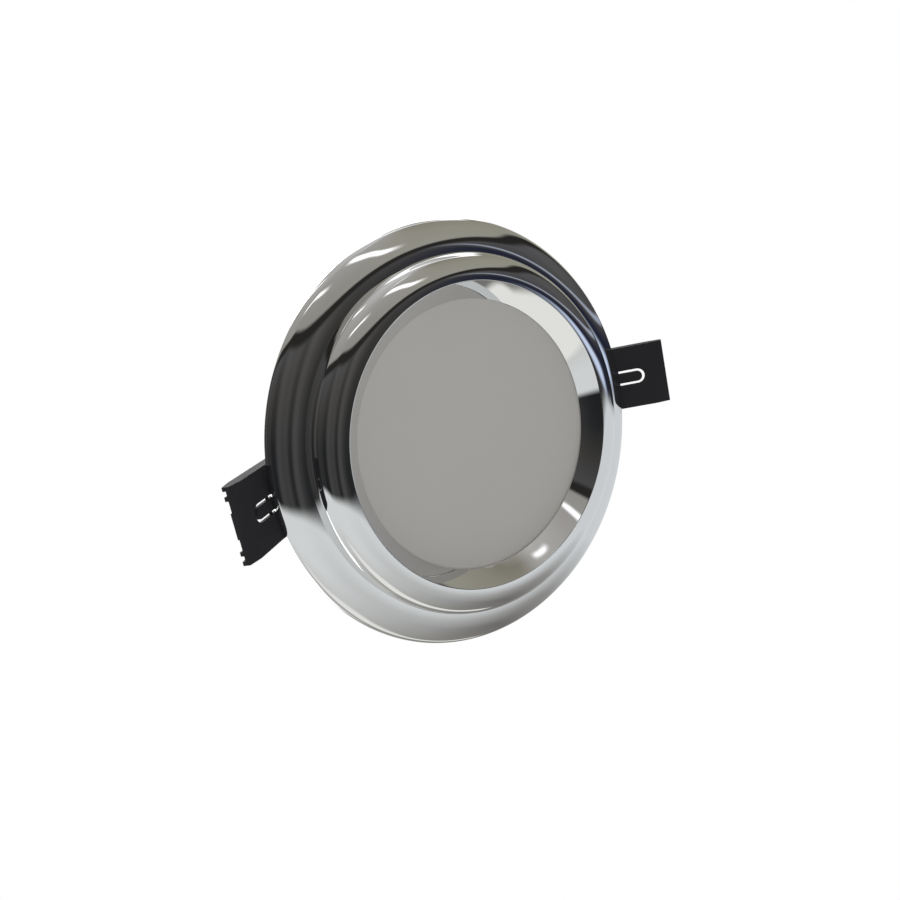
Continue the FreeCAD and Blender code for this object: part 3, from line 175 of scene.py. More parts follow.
outer_step = step_section(OUTER_R, 0.0, OUTER_WIDTH, OUTER_SHOULDER)
crease = outer_step[-1]
inner_step = step_section(CREASE_R, crease[1] - INNER_DROP, INNER_WIDTH, INNER_SHOULDER)
crest = inner_step[-1]
crest_side = crest + np.array([1.0, 0.0])
bevel_end = crest + np.array([-BEVEL_IN, BEVEL_UP])
ledge_z = bevel_end[1] + LIP_HIGH
bezel_section = np.vstack(
    [
        outer_step,
        [(CREASE_R, crease[1] + CREASE_NICK)],
        inner_step[:-1],
        eased(crest_side, crest, bevel_end, CREST_EASE),
        eased(crest, bevel_end, (bevel_end[0], ledge_z), BEVEL_EASE),
        [(LIP_R, ledge_z), (POCKET_R, ledge_z), (POCKET_R, SHOULDER_Z)],
        [(CORING_IN_R, SHOULDER_Z), (CORING_IN_R, CORING_Z - CORING_FALL)],
        [(CORING_OUT_R, CORING_Z), (CORING_OUT_R, SHOULDER_Z)],
        [(SEAT_R, SHOULDER_Z), (SEAT_R, 0.0)],
        [(GROOVE_IN_R, 0.0), (GROOVE_IN_R, -GROOVE_DEEP)],
        [(GROOVE_OUT_R, -GROOVE_DEEP), (GROOVE_OUT_R, 0.0)],
    ]
)
bezel = turned_piece("bezel_ring", bezel_section, RING_POINTS)

FINE_DETAIL = 3
CLOUD_DETAIL = 6
CLOUD_ROUGHNESS = 0.62
FINE_SHARE = 0.35
ROUGHNESS_SPAN = (0.45, 0.95)
SHADE_SPAN = (0.3, 0.7)
RELIEF_DISTANCE = 0.0001


def surface_grain():
    """Node group: cloudy and fine noise over a piece. The roughness runs from Low to High with
    the clouds plus FINE_SHARE times the fine noise, the shade from 0 to 1 with the clouds alone,
    and the height is the fine noise."""
    group = bpy.data.node_groups.new("surface_grain", "ShaderNodeTree")
    for label, default in (
        ("Fine scale", 900.0),
        ("Cloud scale", 25.0),
        ("Low", 0.3),
        ("High", 0.4),
    ):
        socket = group.interface.new_socket(label, in_out="INPUT", socket_type="NodeSocketFloat")
        socket.default_value = default
    for label in ("Roughness", "Shade", "Height"):
        group.interface.new_socket(label, in_out="OUTPUT", socket_type="NodeSocketFloat")
    enter = group.nodes.new("NodeGroupInput")
    leave = group.nodes.new("NodeGroupOutput")
    place = group.nodes.new("ShaderNodeTexCoord")
    fine = group.nodes.new("ShaderNodeTexNoise")
    cloud = group.nodes.new("ShaderNodeTexNoise")
    fine.inputs["Detail"].default_value = FINE_DETAIL
    cloud.inputs["Detail"].default_value = CLOUD_DETAIL
    cloud.inputs["Roughness"].default_value = CLOUD_ROUGHNESS
    link = group.links.new
    for texture, label in ((fine, "Fine scale"), (cloud, "Cloud scale")):
        link(place.outputs["Object"], texture.inputs["Vector"])
        link(enter.outputs[label], texture.inputs["Scale"])
    both = group.nodes.new("ShaderNodeMath")
    both.operation = "MULTIPLY_ADD"
    both.inputs[1].default_value = FINE_SHARE
    link(fine.outputs["Fac"], both.inputs[0])
    link(cloud.outputs["Fac"], both.inputs[2])
    spread = group.nodes.new("ShaderNodeMapRange")
    spread.inputs["From Min"].default_value = ROUGHNESS_SPAN[0]
    spread.inputs["From Max"].default_value = ROUGHNESS_SPAN[1]
    link(both.outputs[0], spread.inputs["Value"])
    link(enter.outputs["Low"], spread.inputs["To Min"])
    link(enter.outputs["High"], spread.inputs["To Max"])
    shade = group.nodes.new("ShaderNodeMapRange")
    shade.inputs["From Min"].default_value = SHADE_SPAN[0]
    shade.inputs["From Max"].default_value = SHADE_SPAN[1]
    link(cloud.outputs["Fac"], shade.inputs["Value"])
    link(spread.outputs[0], leave.inputs["Roughness"])
    link(shade.outputs[0], leave.inputs["Shade"])
    link(fine.outputs["Fac"], leave.inputs["Height"])
    return group


GRAIN = surface_grain()


def finish_of(
    name, colour, rough, metallic=0.0, fine=900.0, cloud=25.0, bump=0.1, worn=0.93, **constants
):
    """A material: its colour clouds down to worn times itself, its roughness grains between the two
    values of rough, and bump is the strength of its fine relief. Constants set the shader's own
    sockets."""
    material = bpy.data.materials.new(name)
    material.use_nodes = True
    tree = material.node_tree
    shader = tree.nodes["Principled BSDF"]
    shader.inputs["Metallic"].default_value = metallic
    for label, value in constants.items():
        shader.inputs[label.replace("_", " ")].default_value = value
    grain = tree.nodes.new("ShaderNodeGroup")
    grain.node_tree = GRAIN
    low, high = rough
    for label, value in (
        ("Fine scale", fine),
        ("Cloud scale", cloud),
        ("Low", low),
        ("High", high),
    ):
        grain.inputs[label].default_value = value
    tint = tree.nodes.new("ShaderNodeMix")
    tint.data_type = "RGBA"
    tint.inputs["A"].default_value = (*[c * worn for c in colour], 1)
    tint.inputs["B"].default_value = (*colour, 1)
    relief = tree.nodes.new("ShaderNodeBump")
    relief.inputs["Strength"].default_value = bump
    relief.inputs["Distance"].default_value = RELIEF_DISTANCE
    link = tree.links.new
    link(grain.outputs["Shade"], tint.inputs["Factor"])
    link(tint.outputs["Result"], shader.inputs["Base Color"])
    link(grain.outputs["Roughness"], shader.inputs["Roughness"])
    link(grain.outputs["Height"], relief.inputs["Height"])
    link(relief.outputs["Normal"], shader.inputs["Normal"])
    return material


def dress(piece, material):
    """Gives a piece or a CAD node one material all over."""
    piece.data.materials.clear()
    piece.data.materials.append(material)


chrome = finish_of(
    "polished_chrome",
    (0.77, 0.775, 0.78),
    rough=(0.012, 0.04),
    metallic=1.0,
    fine=2500.0,
    cloud=60.0,
    bump=0.01,
    worn=0.97,
)
boss_foot_z = CORING_Z - BOSS_SINK
boss_section = np.array(
    [
        (BOSS_R, SHOULDER_Z),
        (BOSS_R, boss_foot_z),
        (BOSS_HOLE_R, boss_foot_z),
        (BOSS_HOLE_R, SHOULDER_Z),
    ]
)
bezel_parts = [bezel]
for k in range(BOSS_COUNT):
    turn = math.radians(BOSS_FIRST + k * 360 / BOSS_COUNT)
    boss = turned_piece(f"bezel_boss_{k + 1}", boss_section, BOSS_POINTS)
    centre = (BOSS_CIRCLE * MM * math.cos(turn), BOSS_CIRCLE * MM * math.sin(turn), 0)
    boss.data.transform(Matrix.Translation(centre))
    bezel_parts.append(boss)
for part in bezel_parts:
    dress(part, chrome)
    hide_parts("bezel")
    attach(part, "root")


# ------------------------------------------------------------------------------------------------
# Soffit gasket. Closed-cell foam, die-cut as a flat ring, laid in the groove behind the bezel and
# pressed flat against the soffit.

foam = finish_of(
    "gasket_foam",
    (0.035, 0.035, 0.038),
    rough=(0.8, 0.95),
    fine=2200.0,
    bump=0.8,
    worn=0.7,
)
dress(nodes["ceiling_gasket"], foam)


# ------------------------------------------------------------------------------------------------
# Diffuser, its seal and the reflector. The diffuser is a disc of opal acrylic with a fine matt
# face, lying on the bezel's ledge; a silicone ring and the white moulded cone hold it there.

opal = finish_of(
    "opal_acrylic",
    (0.80, 0.775, 0.74),
    rough=(0.42, 0.52),
    fine=3200.0,
    cloud=9.0,
    bump=0.06,
    worn=0.965,
)
silicone = finish_of("clear_silicone", (0.72, 0.74, 0.75), rough=(0.3, 0.45), bump=0.05)
white_moulding = finish_of("white_moulding", (0.86, 0.86, 0.85), rough=(0.5, 0.62), bump=0.15)
dress(nodes["diffuser"], opal)
dress(nodes["diffuser_seal"], silicone)
dress(nodes["reflector"], white_moulding)


# ------------------------------------------------------------------------------------------------
# Light source. An aluminium board with white solder mask and yellow packages, a soft thermal pad
# behind it, and the two insulated leads that come down from the driver.

solder_mask = finish_of("white_solder_mask", (0.85, 0.86, 0.85), rough=(0.28, 0.4), bump=0.05)
phosphor = finish_of("phosphor", (0.86, 0.66, 0.10), rough=(0.25, 0.4), cloud=300.0, bump=0.2)
pad_grey = finish_of("thermal_pad_grey", (0.27, 0.29, 0.32), rough=(0.7, 0.85), bump=0.4)
lead_red = finish_of("red_insulation", (0.42, 0.012, 0.01), rough=(0.3, 0.42), bump=0.05)
dress(nodes["led_board"], solder_mask)
dress(nodes["led_chips"], phosphor)
dress(nodes["thermal_pad"], pad_grey)
dress(nodes["led_leads"], lead_red)


# ------------------------------------------------------------------------------------------------
# Heat sink. One aluminium die casting, shot-blasted, whose skirt passes through the soffit's hole
# and whose fins stand up behind it.

cast = finish_of(
    "cast_aluminium",
    (0.66, 0.67, 0.68),
    rough=(0.36, 0.5),
    metallic=1.0,
    fine=1500.0,
    cloud=40.0,
    bump=0.35,
    worn=0.86,
)
dress(nodes["heat_sink"], cast)


# ------------------------------------------------------------------------------------------------
# Screws and rivets. Steel, cold-headed, zinc plated and passivated to a bright grey. The screws
# go into tapped bosses and posts, and the rivets are peened over the brackets' ears.

zinc = finish_of(
    "bright_zinc",
    (0.62, 0.63, 0.64),
    rough=(0.22, 0.36),
    metallic=1.0,
    fine=1800.0,
    cloud=120.0,
    bump=0.08,
)
for label in ("board_screws", "ring_screws", "base_screws", "cover_screws", "terminal_screws"):
    dress(nodes[label], zinc)
for side in ("right", "left"):
    dress(nodes[f"bracket_screws_{side}"], zinc)
    dress(nodes[f"hinge_pin_{side}"], zinc)


# ------------------------------------------------------------------------------------------------
# Clip brackets. Pressed steel sheet, zinc plated, each with two ears for the hinge pin, screwed
# to the heat sink's pads.

sheet_steel = finish_of(
    "zinc_sheet",
    (0.58, 0.59, 0.60),
    rough=(0.28, 0.44),
    metallic=1.0,
    fine=900.0,
    cloud=70.0,
    bump=0.1,
    worn=0.88,
)
for side in ("right", "left"):
    dress(nodes[f"clip_bracket_{side}"], sheet_steel)


# ------------------------------------------------------------------------------------------------
# Clip springs. One bright steel wire each: a tail on the bracket, a coil round the hinge pin, an
# arm in the sleeve, the crossbar, and back. Sizes in millimetres, for the right clip.

HINGE = np.array([48.458, 0.0, 24.5])
DROOP = math.radians(41.75)
WIRE_R = 0.7
WIRE_SIDES = 16
WIRE_SHARP = 50
COIL_R = 2.4
COIL_TURNS = 3.0
COIL_POINTS = 130
CLIMB_EASE = 0.12
TAIL_Y = 3.2
TAIL_LONG = 5.6
TAIL_STOP = 0.3
TAIL_POINTS = 14
ARM_Y = 9.335
ARM_POINTS = 60
CROSSBAR_AT = 43.3
CROSSBAR_POINTS = 28
CORNER_R = 1.8
CORNER_POINTS = 12
Y_AXIS = np.array([0.0, 1.0, 0.0])
along_arm = np.array([math.cos(DROOP), 0.0, -math.sin(DROOP)])
off_arm = np.array([math.sin(DROOP), 0.0, math.cos(DROOP)])


def wire_piece(name, path, reference):
    """A round wire with closed ends: path(s) + WIRE_R (across(s) cos a + up(s) sin a), where
    across and up are square to the path, and across also to a reference that the path never
    follows."""
    tangent = np.gradient(path, axis=0)
    tangent /= np.linalg.norm(tangent, axis=1)[:, None]
    across = np.cross(tangent, reference)
    across /= np.linalg.norm(across, axis=1)[:, None]
    up = np.cross(across, tangent)
    turn = np.linspace(0, 2 * np.pi, WIRE_SIDES, endpoint=False)
    circle = across[:, None] * np.cos(turn)[:, None] + up[:, None] * np.sin(turn)[:, None]
    points = path[:, None] + circle * WIRE_R
    flat = np.vstack([points.reshape(-1, 3), path[0], path[-1]])
    faces = grid_faces(len(path), WIRE_SIDES, close_rows=False)
    around = np.arange(WIRE_SIDES)
    after = (around + 1) % WIRE_SIDES
    last_row = (len(path) - 1) * WIRE_SIDES
    start_middle = last_row + WIRE_SIDES
    start_cap = np.c_[np.full(WIRE_SIDES, start_middle), around, after]
    end_cap = np.c_[np.full(WIRE_SIDES, start_middle + 1), last_row + after, last_row + around]
    mesh = bpy.data.meshes.new(name)
    caps = start_cap.tolist() + end_cap.tolist()
    mesh.from_pydata((flat * MM).tolist(), [], faces.tolist() + caps)
    edit = bmesh.new()
    edit.from_mesh(mesh)
    bmesh.ops.recalc_face_normals(edit, faces=edit.faces)
    edit.to_mesh(mesh)
    edit.free()
    return smooth_piece(name, mesh, WIRE_SHARP)


def facing(points, side):
    """Points of the right clip as they lie on that side: the left clip is turned half round."""
    return points if side == "right" else points * np.array([-1.0, -1.0, 1.0])


def coil_path(half):
    """A straight tail, then COIL_TURNS about the hinge, less the droop, from straight below it:
    (R cos a, y, R sin a). y climbs evenly from the tail's to the arm's, less a sine that eases
    both ends."""
    whole = 2 * math.pi * COIL_TURNS - DROOP
    part = np.linspace(0, 1, COIL_POINTS)
    angle = -math.pi / 2 + whole * part
    ease = np.sin(2 * np.pi * part) / (2 * np.pi) * CLIMB_EASE
    climb = TAIL_Y + (ARM_Y - TAIL_Y) * (part - ease)
    turns = np.c_[COIL_R * np.cos(angle), half * climb, COIL_R * np.sin(angle)]
    back = np.linspace(TAIL_LONG, TAIL_STOP, TAIL_POINTS)[:, None] * np.array([[-1.0, 0.0, 0.0]])
    return HINGE + np.vstack([turns[0] + back, turns])


def arm_path():
    """From one coil's foot straight along the sleeve, round a quarter circle of CORNER_R, across
    the crossbar, and back the same way: the foot plus out times the arm's direction plus y
    sideways."""
    foot = -COIL_R * off_arm
    run = np.linspace(0, CROSSBAR_AT - CORNER_R, ARM_POINTS)
    turn = np.linspace(0, math.pi / 2, CORNER_POINTS)[1:]
    bend_out = CROSSBAR_AT - CORNER_R + CORNER_R * np.sin(turn)
    bend_y = ARM_Y - CORNER_R + CORNER_R * np.cos(turn)
    out = np.r_[run, bend_out]
    y = np.r_[np.full(ARM_POINTS, ARM_Y), bend_y]
    bar = np.linspace(bend_y[-1], -bend_y[-1], CROSSBAR_POINTS + 2)[1:-1]
    out = np.r_[out, np.full(CROSSBAR_POINTS, out[-1]), out[::-1]]
    y = np.r_[y, bar, -y[::-1]]
    return HINGE + foot + out[:, None] * along_arm + y[:, None] * Y_AXIS


spring_steel = finish_of(
    "spring_wire",
    (0.56, 0.56, 0.57),
    rough=(0.2, 0.32),
    metallic=1.0,
    fine=1200.0,
    cloud=200.0,
    bump=0.06,
)
for side in ("right", "left"):
    arms = wire_piece(f"spring_arms_{side}", facing(arm_path(), side), facing(off_arm, side))
    dress(arms, spring_steel)
    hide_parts(f"clip_spring_{side}")
    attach(arms, f"clip_{side}")
    for half, label in ((1, "a"), (-1, "b")):
        coil = wire_piece(f"spring_coil_{side}_{label}", facing(coil_path(half), side), Y_AXIS)
        dress(coil, spring_steel)
        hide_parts(f"clip_spring_{side}")
        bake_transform(coil)


# ------------------------------------------------------------------------------------------------
# Clip sleeves. Black nylon mouldings pushed over the spring's arms, with flanges at both sides,
# ribs beside the wire, a U-shaped slit near the lip and softened edges from the mould.

MOULD_EDGE = 0.00012
MOULD_EDGE_STEPS = 2
EDGE_ANGLE = 30
FLAT_ANGLE = 1
MERGE_WITHIN = 1e-6
FULL_WEIGHT = 100

black_nylon = finish_of(
    "black_nylon",
    (0.036, 0.036, 0.041),
    rough=(0.62, 0.74),
    fine=1400.0,
    cloud=45.0,
    bump=0.22,
    worn=0.75,
    Specular_IOR_Level=0.2,
)


def moulded_copy(node, name):
    """A CAD node's shape with its loose triangles merged into flat faces, its edges rounded by
    MOULD_EDGE metres, and each flat face shaded flat."""
    mesh = nodes[node].data.copy()
    mesh.name = name
    edit = bmesh.new()
    edit.from_mesh(mesh)
    bmesh.ops.remove_doubles(edit, verts=edit.verts, dist=MERGE_WITHIN)
    bmesh.ops.dissolve_limit(
        edit, angle_limit=math.radians(FLAT_ANGLE), verts=edit.verts, edges=edit.edges
    )
    edit.to_mesh(mesh)
    edit.free()
    piece = placed(name, mesh)
    soften = piece.modifiers.new("edges", "BEVEL")
    soften.width = MOULD_EDGE
    soften.segments = MOULD_EDGE_STEPS
    soften.limit_method = "ANGLE"
    soften.angle_limit = math.radians(EDGE_ANGLE)
    level = piece.modifiers.new("flat_faces", "WEIGHTED_NORMAL")
    level.weight = FULL_WEIGHT
    level.keep_sharp = True
    mesh.shade_smooth()
    return piece


for side in ("right", "left"):
    sleeve = moulded_copy(f"clip_sleeve_{side}", f"sleeve_{side}")
    dress(sleeve, black_nylon)
    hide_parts(f"clip_sleeve_{side}")
    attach(sleeve, f"clip_{side}")


# ------------------------------------------------------------------------------------------------
# Driver box. A pale moulded base and cover with a fine spark-eroded texture, screwed together,
# and a rubber grommet where the mains cable enters.

case_plastic = finish_of(
    "case_plastic",
    (0.74, 0.74, 0.72),
    rough=(0.46, 0.6),
    fine=1700.0,
    cloud=30.0,
    bump=0.4,
    worn=0.95,
)
grommet_rubber = finish_of(
    "grommet_rubber", (0.022, 0.022, 0.022), rough=(0.55, 0.75), bump=0.3, worn=0.8
)
dress(nodes["driver_base"], case_plastic)
dress(nodes["driver_cover"], case_plastic)
dress(nodes["cable_grommet"], grommet_rubber)


# ------------------------------------------------------------------------------------------------
# Driver circuit. A green laminate board on standoffs with the parts of a small constant-current
# driver, soldered by their legs. Each has its colour, its roughness and whether it is metal.

circuit_finishes = {
    "circuit_board": ((0.01, 0.10, 0.035), (0.3, 0.45), 0.0),
    "transformer_core": ((0.03, 0.03, 0.033), (0.6, 0.8), 0.0),
    "transformer_winding": ((0.78, 0.52, 0.03), (0.3, 0.4), 0.0),
    "input_capacitor": ((0.012, 0.016, 0.04), (0.25, 0.35), 0.0),
    "output_capacitor": ((0.012, 0.016, 0.04), (0.25, 0.35), 0.0),
    "film_capacitor": ((0.55, 0.33, 0.02), (0.3, 0.4), 0.0),
    "choke": ((0.60, 0.22, 0.09), (0.25, 0.4), 1.0),
    "rectifier": ((0.012, 0.012, 0.013), (0.4, 0.55), 0.0),
    "fuse_resistor": ((0.26, 0.42, 0.33), (0.35, 0.5), 0.0),
    "terminal_block": ((0.03, 0.20, 0.06), (0.4, 0.5), 0.0),
}
for label, (colour, rough, metallic) in circuit_finishes.items():
    finish = finish_of(
        f"{label}_finish", colour, rough, metallic, cloud=160.0, bump=0.12, worn=0.85
    )
    dress(nodes[label], finish)


# ------------------------------------------------------------------------------------------------
# Camera, at the photograph's place: below and to one side of the light, which lies in the frame
# as it hangs in a soffit. right, up and ahead are the picture's own directions.

CAMERA_AT = (-0.1462, -0.0599, -0.2308)
LENS = 34.2
SENSOR = 36.0
CLIP_START = 0.005
ahead = np.array([0.502, 0.228, 0.834])
right = np.array([0.812, 0.209, -0.545])
ahead /= np.linalg.norm(ahead)
right -= ahead * (right @ ahead)
right /= np.linalg.norm(right)
up = np.cross(right, ahead)


def aimed(to_side, to_top, to_back, at):
    """The matrix of a camera or lamp: its own three axes, and where it stands."""
    return Matrix([(to_side[k], to_top[k], to_back[k], at[k]) for k in range(3)] + [(0, 0, 0, 1)])


camera = placed("photo_camera", bpy.data.cameras.new("photo_camera"))
camera.data.lens = LENS
camera.data.sensor_width = SENSOR
camera.data.clip_start = CLIP_START
camera.matrix_world = aimed(right, up, -ahead, CAMERA_AT)
bpy.context.scene.camera = camera
bpy.context.scene.view_settings.view_transform = "Standard"


# ------------------------------------------------------------------------------------------------
# Studio, which lights the object and is what its chrome mirrors: a pale ground, a dark band, a
# grey top, four tube lights and a panel light, placed by azimuth (0 behind the camera, 90 to its
# right) and elevation in the picture's directions, in degrees. The camera sees plain white.

CHROME_REFLECTS = 0.77
world = bpy.data.worlds.new("studio")
bpy.context.scene.world = world
world.use_nodes = True
sky = world.node_tree
sky.nodes.clear()
sky_link = sky.links.new


def tone(*levels):
    """A colour as it should show in the chrome, from display levels out of 255: in linear light
    by the sRGB curve, and divided by what the chrome reflects."""
    shown = np.array(levels if len(levels) == 3 else levels * 3) / 255
    linear = np.where(shown <= 0.04045, shown / 12.92, ((shown + 0.055) / 1.055) ** 2.4)
    return (*(linear / CHROME_REFLECTS).tolist(), 1)


def sky_math(operation, *values):
    """A Math node's output, from numbers and other outputs."""
    made = sky.nodes.new("ShaderNodeMath")
    made.operation = operation
    for k, value in enumerate(values):
        if isinstance(value, (int, float)):
            made.inputs[k].default_value = value
        else:
            sky_link(value, made.inputs[k])
    return made.outputs[0]


look = sky.nodes.new("ShaderNodeTexCoord").outputs["Generated"]


def component(axis):
    """How far the looked-at direction runs along an axis: their dot product."""
    dot = sky.nodes.new("ShaderNodeVectorMath")
    dot.operation = "DOT_PRODUCT"
    sky_link(look, dot.inputs[0])
    dot.inputs[1].default_value = tuple(axis)
    return dot.outputs["Value"]


DEGREES = 180 / math.pi
azimuth = sky_math("MULTIPLY", sky_math("ARCTAN2", component(right), component(-ahead)), DEGREES)
elevation = sky_math("MULTIPLY", sky_math("ARCSINE", component(up)), DEGREES)


def height_by_azimuth(stops):
    """An elevation that runs smoothly through (azimuth, elevation) stops, both brought to 0..1 for
    the curve."""
    curve = sky.nodes.new("ShaderNodeFloatCurve")
    points = curve.mapping.curves[0].points
    for k, (at, height) in enumerate(stops):
        spot = ((at + 180) / 360, (height + 90) / 180)
        if k in (0, len(stops) - 1):
            points[0 if k == 0 else -1].location = spot
        else:
            points.new(*spot)
    curve.mapping.update()
    sky_link(sky_math("MULTIPLY_ADD", azimuth, 1 / 360, 0.5), curve.inputs["Value"])
    return sky_math("MULTIPLY_ADD", curve.outputs[0], 180.0, -90.0)


def above(value, edge, softness):
    """A mask that rises smoothly from 0 to 1 as value passes the edge, softness to either side."""
    ramp = sky.nodes.new("ShaderNodeMapRange")
    ramp.interpolation_type = "SMOOTHSTEP"
    sky_link(sky_math("SUBTRACT", value, edge), ramp.inputs["Value"])
    ramp.inputs["From Min"].default_value = -softness
    ramp.inputs["From Max"].default_value = softness
    return ramp.outputs[0]


def below(value, edge, softness):
    """The opposite mask: 1 less the mask above the edge."""
    return sky_math("SUBTRACT", 1.0, above(value, edge, softness))


def between(value, low, high, softness):
    """A mask of 1 from low to high: the mask above low less the mask above high."""
    return sky_math("SUBTRACT", above(value, low, softness), above(value, high, softness))


def shaded(*stops):
    """A colour that runs evenly from each (elevation, colour) stop to the next."""
    ramp = sky.nodes.new("ShaderNodeValToRGB")
    sky_link(sky_math("MULTIPLY_ADD", elevation, 1 / 180, 0.5), ramp.inputs["Fac"])
    elements = ramp.color_ramp.elements
    elements[0].position = 0.0
    elements[0].color = stops[0][1]
    elements[1].position = 1.0
    elements[1].color = stops[-1][1]
    for height, colour in stops:
        elements.new((height + 90) / 180).color = colour
    return ramp.outputs["Color"]


def laid_over(under, mask, over):
    """over where the mask is 1, and under where it is 0."""
    mix = sky.nodes.new("ShaderNodeMix")
    mix.data_type = "RGBA"
    sky_link(mask, mix.inputs["Factor"])
    for socket, value in ((mix.inputs["A"], under), (mix.inputs["B"], over)):
        if isinstance(value, tuple):
            socket.default_value = value
        else:
            sky_link(value, socket)
    return mix.outputs["Result"]


# The ground, lighter to the left and lightest close below the camera. An edge comes with its
# softness, and a span as from, to and softness.
GROUND_TO_RIGHT = (62.0, 45.0)
GROUND_TO_FAR = (-152.0, 12.0)
NEAR_ACROSS = (-28.0, 142.0, 10.0)
NEAR_SOFT = 2.5
NEAR_EDGE = [
    (-180, -56), (-24, -54), (25, -60), (60, -68), (108, -65), (122, -54), (180, -50),
]
ground_left = shaded(
    (-86, tone(150, 148, 144)),
    (-62, tone(188, 189, 187)),
    (-44, tone(206, 208, 208)),
)
ground_right = shaded(
    (-86, tone(147, 145, 140)),
    (-62, tone(132, 130, 126)),
    (-45, tone(108, 106, 104)),
    (-33, tone(140, 139, 137)),
    (-20, tone(200, 203, 205)),
)
ground_far = shaded(
    (-80, tone(147, 145, 141)),
    (-40, tone(144, 141, 138)),
    (-22, tone(168, 166, 164)),
)
ground = laid_over(ground_left, above(azimuth, *GROUND_TO_RIGHT), ground_right)
ground = laid_over(ground, below(azimuth, *GROUND_TO_FAR), ground_far)
below_near = below(elevation, height_by_azimuth(NEAR_EDGE), NEAR_SOFT)
near = sky_math("MULTIPLY", between(azimuth, *NEAR_ACROSS), below_near)
ground = laid_over(ground, near, tone(223, 223, 219))

# The dark band, with soft upright streaks, and above the ground's edge.
STREAK_SCALE = 0.045
STREAK_DETAIL = 1.0
STREAK_FROM = 0.56
STREAK_SOFT = 0.16
STREAK_STRENGTH = 0.42
GROUND_SOFT = 2.2
GROUND_EDGE = [
    (-180, -6), (-135, -13), (-105, -25), (-60, -29), (0, -30), (30, -24), (60, -13), (85, -2),
    (105, 3), (180, 2),
]
dark_band = shaded(
    (-30, tone(30, 31, 32)),
    (-12, tone(34, 35, 36)),
    (5, tone(54, 53, 51)),
    (28, tone(76, 75, 77)),
)
streaks = sky.nodes.new("ShaderNodeTexNoise")
streaks.noise_dimensions = "1D"
streaks.inputs["Scale"].default_value = STREAK_SCALE
streaks.inputs["Detail"].default_value = STREAK_DETAIL
sky_link(azimuth, streaks.inputs["W"])
streak_mask = above(streaks.outputs["Fac"], STREAK_FROM, STREAK_SOFT)
streak_mask = sky_math("MULTIPLY", streak_mask, STREAK_STRENGTH)
dark_band = laid_over(dark_band, streak_mask, tone(96, 94, 93))
above_ground = above(elevation, height_by_azimuth(GROUND_EDGE), GROUND_SOFT)
mirrored = laid_over(ground, above_ground, dark_band)

# Three patches to the right, a dark, a thin pale and a small bright one. Each has its span in
# azimuth, its span in elevation, and its colour.
for across, high, colour in (
    ((62.0, 172.0, 8.0), (4.0, 15.0, 3.0), tone(32, 35, 50)),
    ((66.0, 150.0, 8.0), (17.0, 19.0, 0.8), tone(150, 156, 170)),
    ((76.0, 104.0, 7.0), (3.0, 9.0, 2.0), tone(196, 208, 232)),
):
    patch = sky_math("MULTIPLY", between(azimuth, *across), between(elevation, *high))
    mirrored = laid_over(mirrored, patch, colour)

# The grey top, with a dark line under its edge.
TOP_TO_RIGHT = (42.0, 18.0)
TOP_SOFT = 1.3
DARK_LINE = (-6.0, 0.0, 1.6)
TOP_EDGE = [
    (-180, 8), (-135, 10), (-105, 22), (-75, 30), (-15, 28), (20, 20), (50, 21), (75, 32),
    (105, 42), (135, 22), (180, 8),
]
top_left = shaded(
    (25, tone(140, 138, 133)),
    (45, tone(154, 151, 147)),
    (70, tone(176, 175, 173)),
    (88, tone(205, 205, 205)),
)
top_right = shaded(
    (25, tone(146, 144, 135)),
    (45, tone(142, 140, 128)),
    (57, tone(134, 131, 119)),
    (64, tone(122, 119, 107)),
    (88, tone(205, 205, 205)),
)
top = laid_over(top_left, above(azimuth, *TOP_TO_RIGHT), top_right)
top_edge = height_by_azimuth(TOP_EDGE)
dark_line = between(sky_math("SUBTRACT", elevation, top_edge), *DARK_LINE)
mirrored = laid_over(mirrored, dark_line, tone(38, 37, 35))
mirrored = laid_over(mirrored, above(elevation, top_edge, TOP_SOFT), top)

# The tube lights, brighter than white: each has its middle line, half its height, and where it
# starts and ends in azimuth.
TUBE_LEVEL = 300
TUBE_SOFT = 1.4
TUBE_END_SOFT = 5.0
LONG_TUBE = [
    (-180, -6), (-150, 16), (-135, 28), (-114, 44), (-95, 53), (-76, 60), (-50, 65), (180, 65),
]
MIDDLE_TUBE = [(-180, 40), (-12, 37.5), (16, 34.5), (180, 34)]
SHORT_TUBE = [(-180, 48), (18, 47), (34, 42), (50, 33), (180, 33)]
SMALL_TUBE = [(-180, 60), (14, 57), (36, 62), (180, 62)]
for middle, half, first, last in (
    (LONG_TUBE, 1.7, -176.0, -72.0),
    (MIDDLE_TUBE, 1.2, -14.0, 15.0),
    (SHORT_TUBE, 2.0, 22.0, 48.0),
    (SMALL_TUBE, 0.9, 18.0, 32.0),
):
    off_tube = sky_math("ABSOLUTE", sky_math("SUBTRACT", elevation, height_by_azimuth(middle)))
    tube = below(off_tube, half, TUBE_SOFT)
    tube = sky_math("MULTIPLY", tube, between(azimuth, first, last, TUBE_END_SOFT))
    mirrored = laid_over(mirrored, tube, tone(TUBE_LEVEL))

# The panel light, between its lower and its upper edge.
PANEL_LEVEL = 290
PANEL_SOFT = 3.0
PANEL_LOW = [
    (-180, 12), (-165, 14), (-150, 27), (-135, 50), (-120, 68), (-95, 80), (60, 80), (95, 63),
    (150, 58), (165, 40), (180, 12),
]
PANEL_HIGH = [
    (-180, 66), (-165, 67), (-135, 84), (-100, 89), (60, 89), (95, 68), (150, 71), (180, 66),
]
panel = sky_math(
    "MULTIPLY",
    above(elevation, height_by_azimuth(PANEL_LOW), PANEL_SOFT),
    below(elevation, height_by_azimuth(PANEL_HIGH), PANEL_SOFT),
)
mirrored = laid_over(mirrored, panel, tone(PANEL_LEVEL))

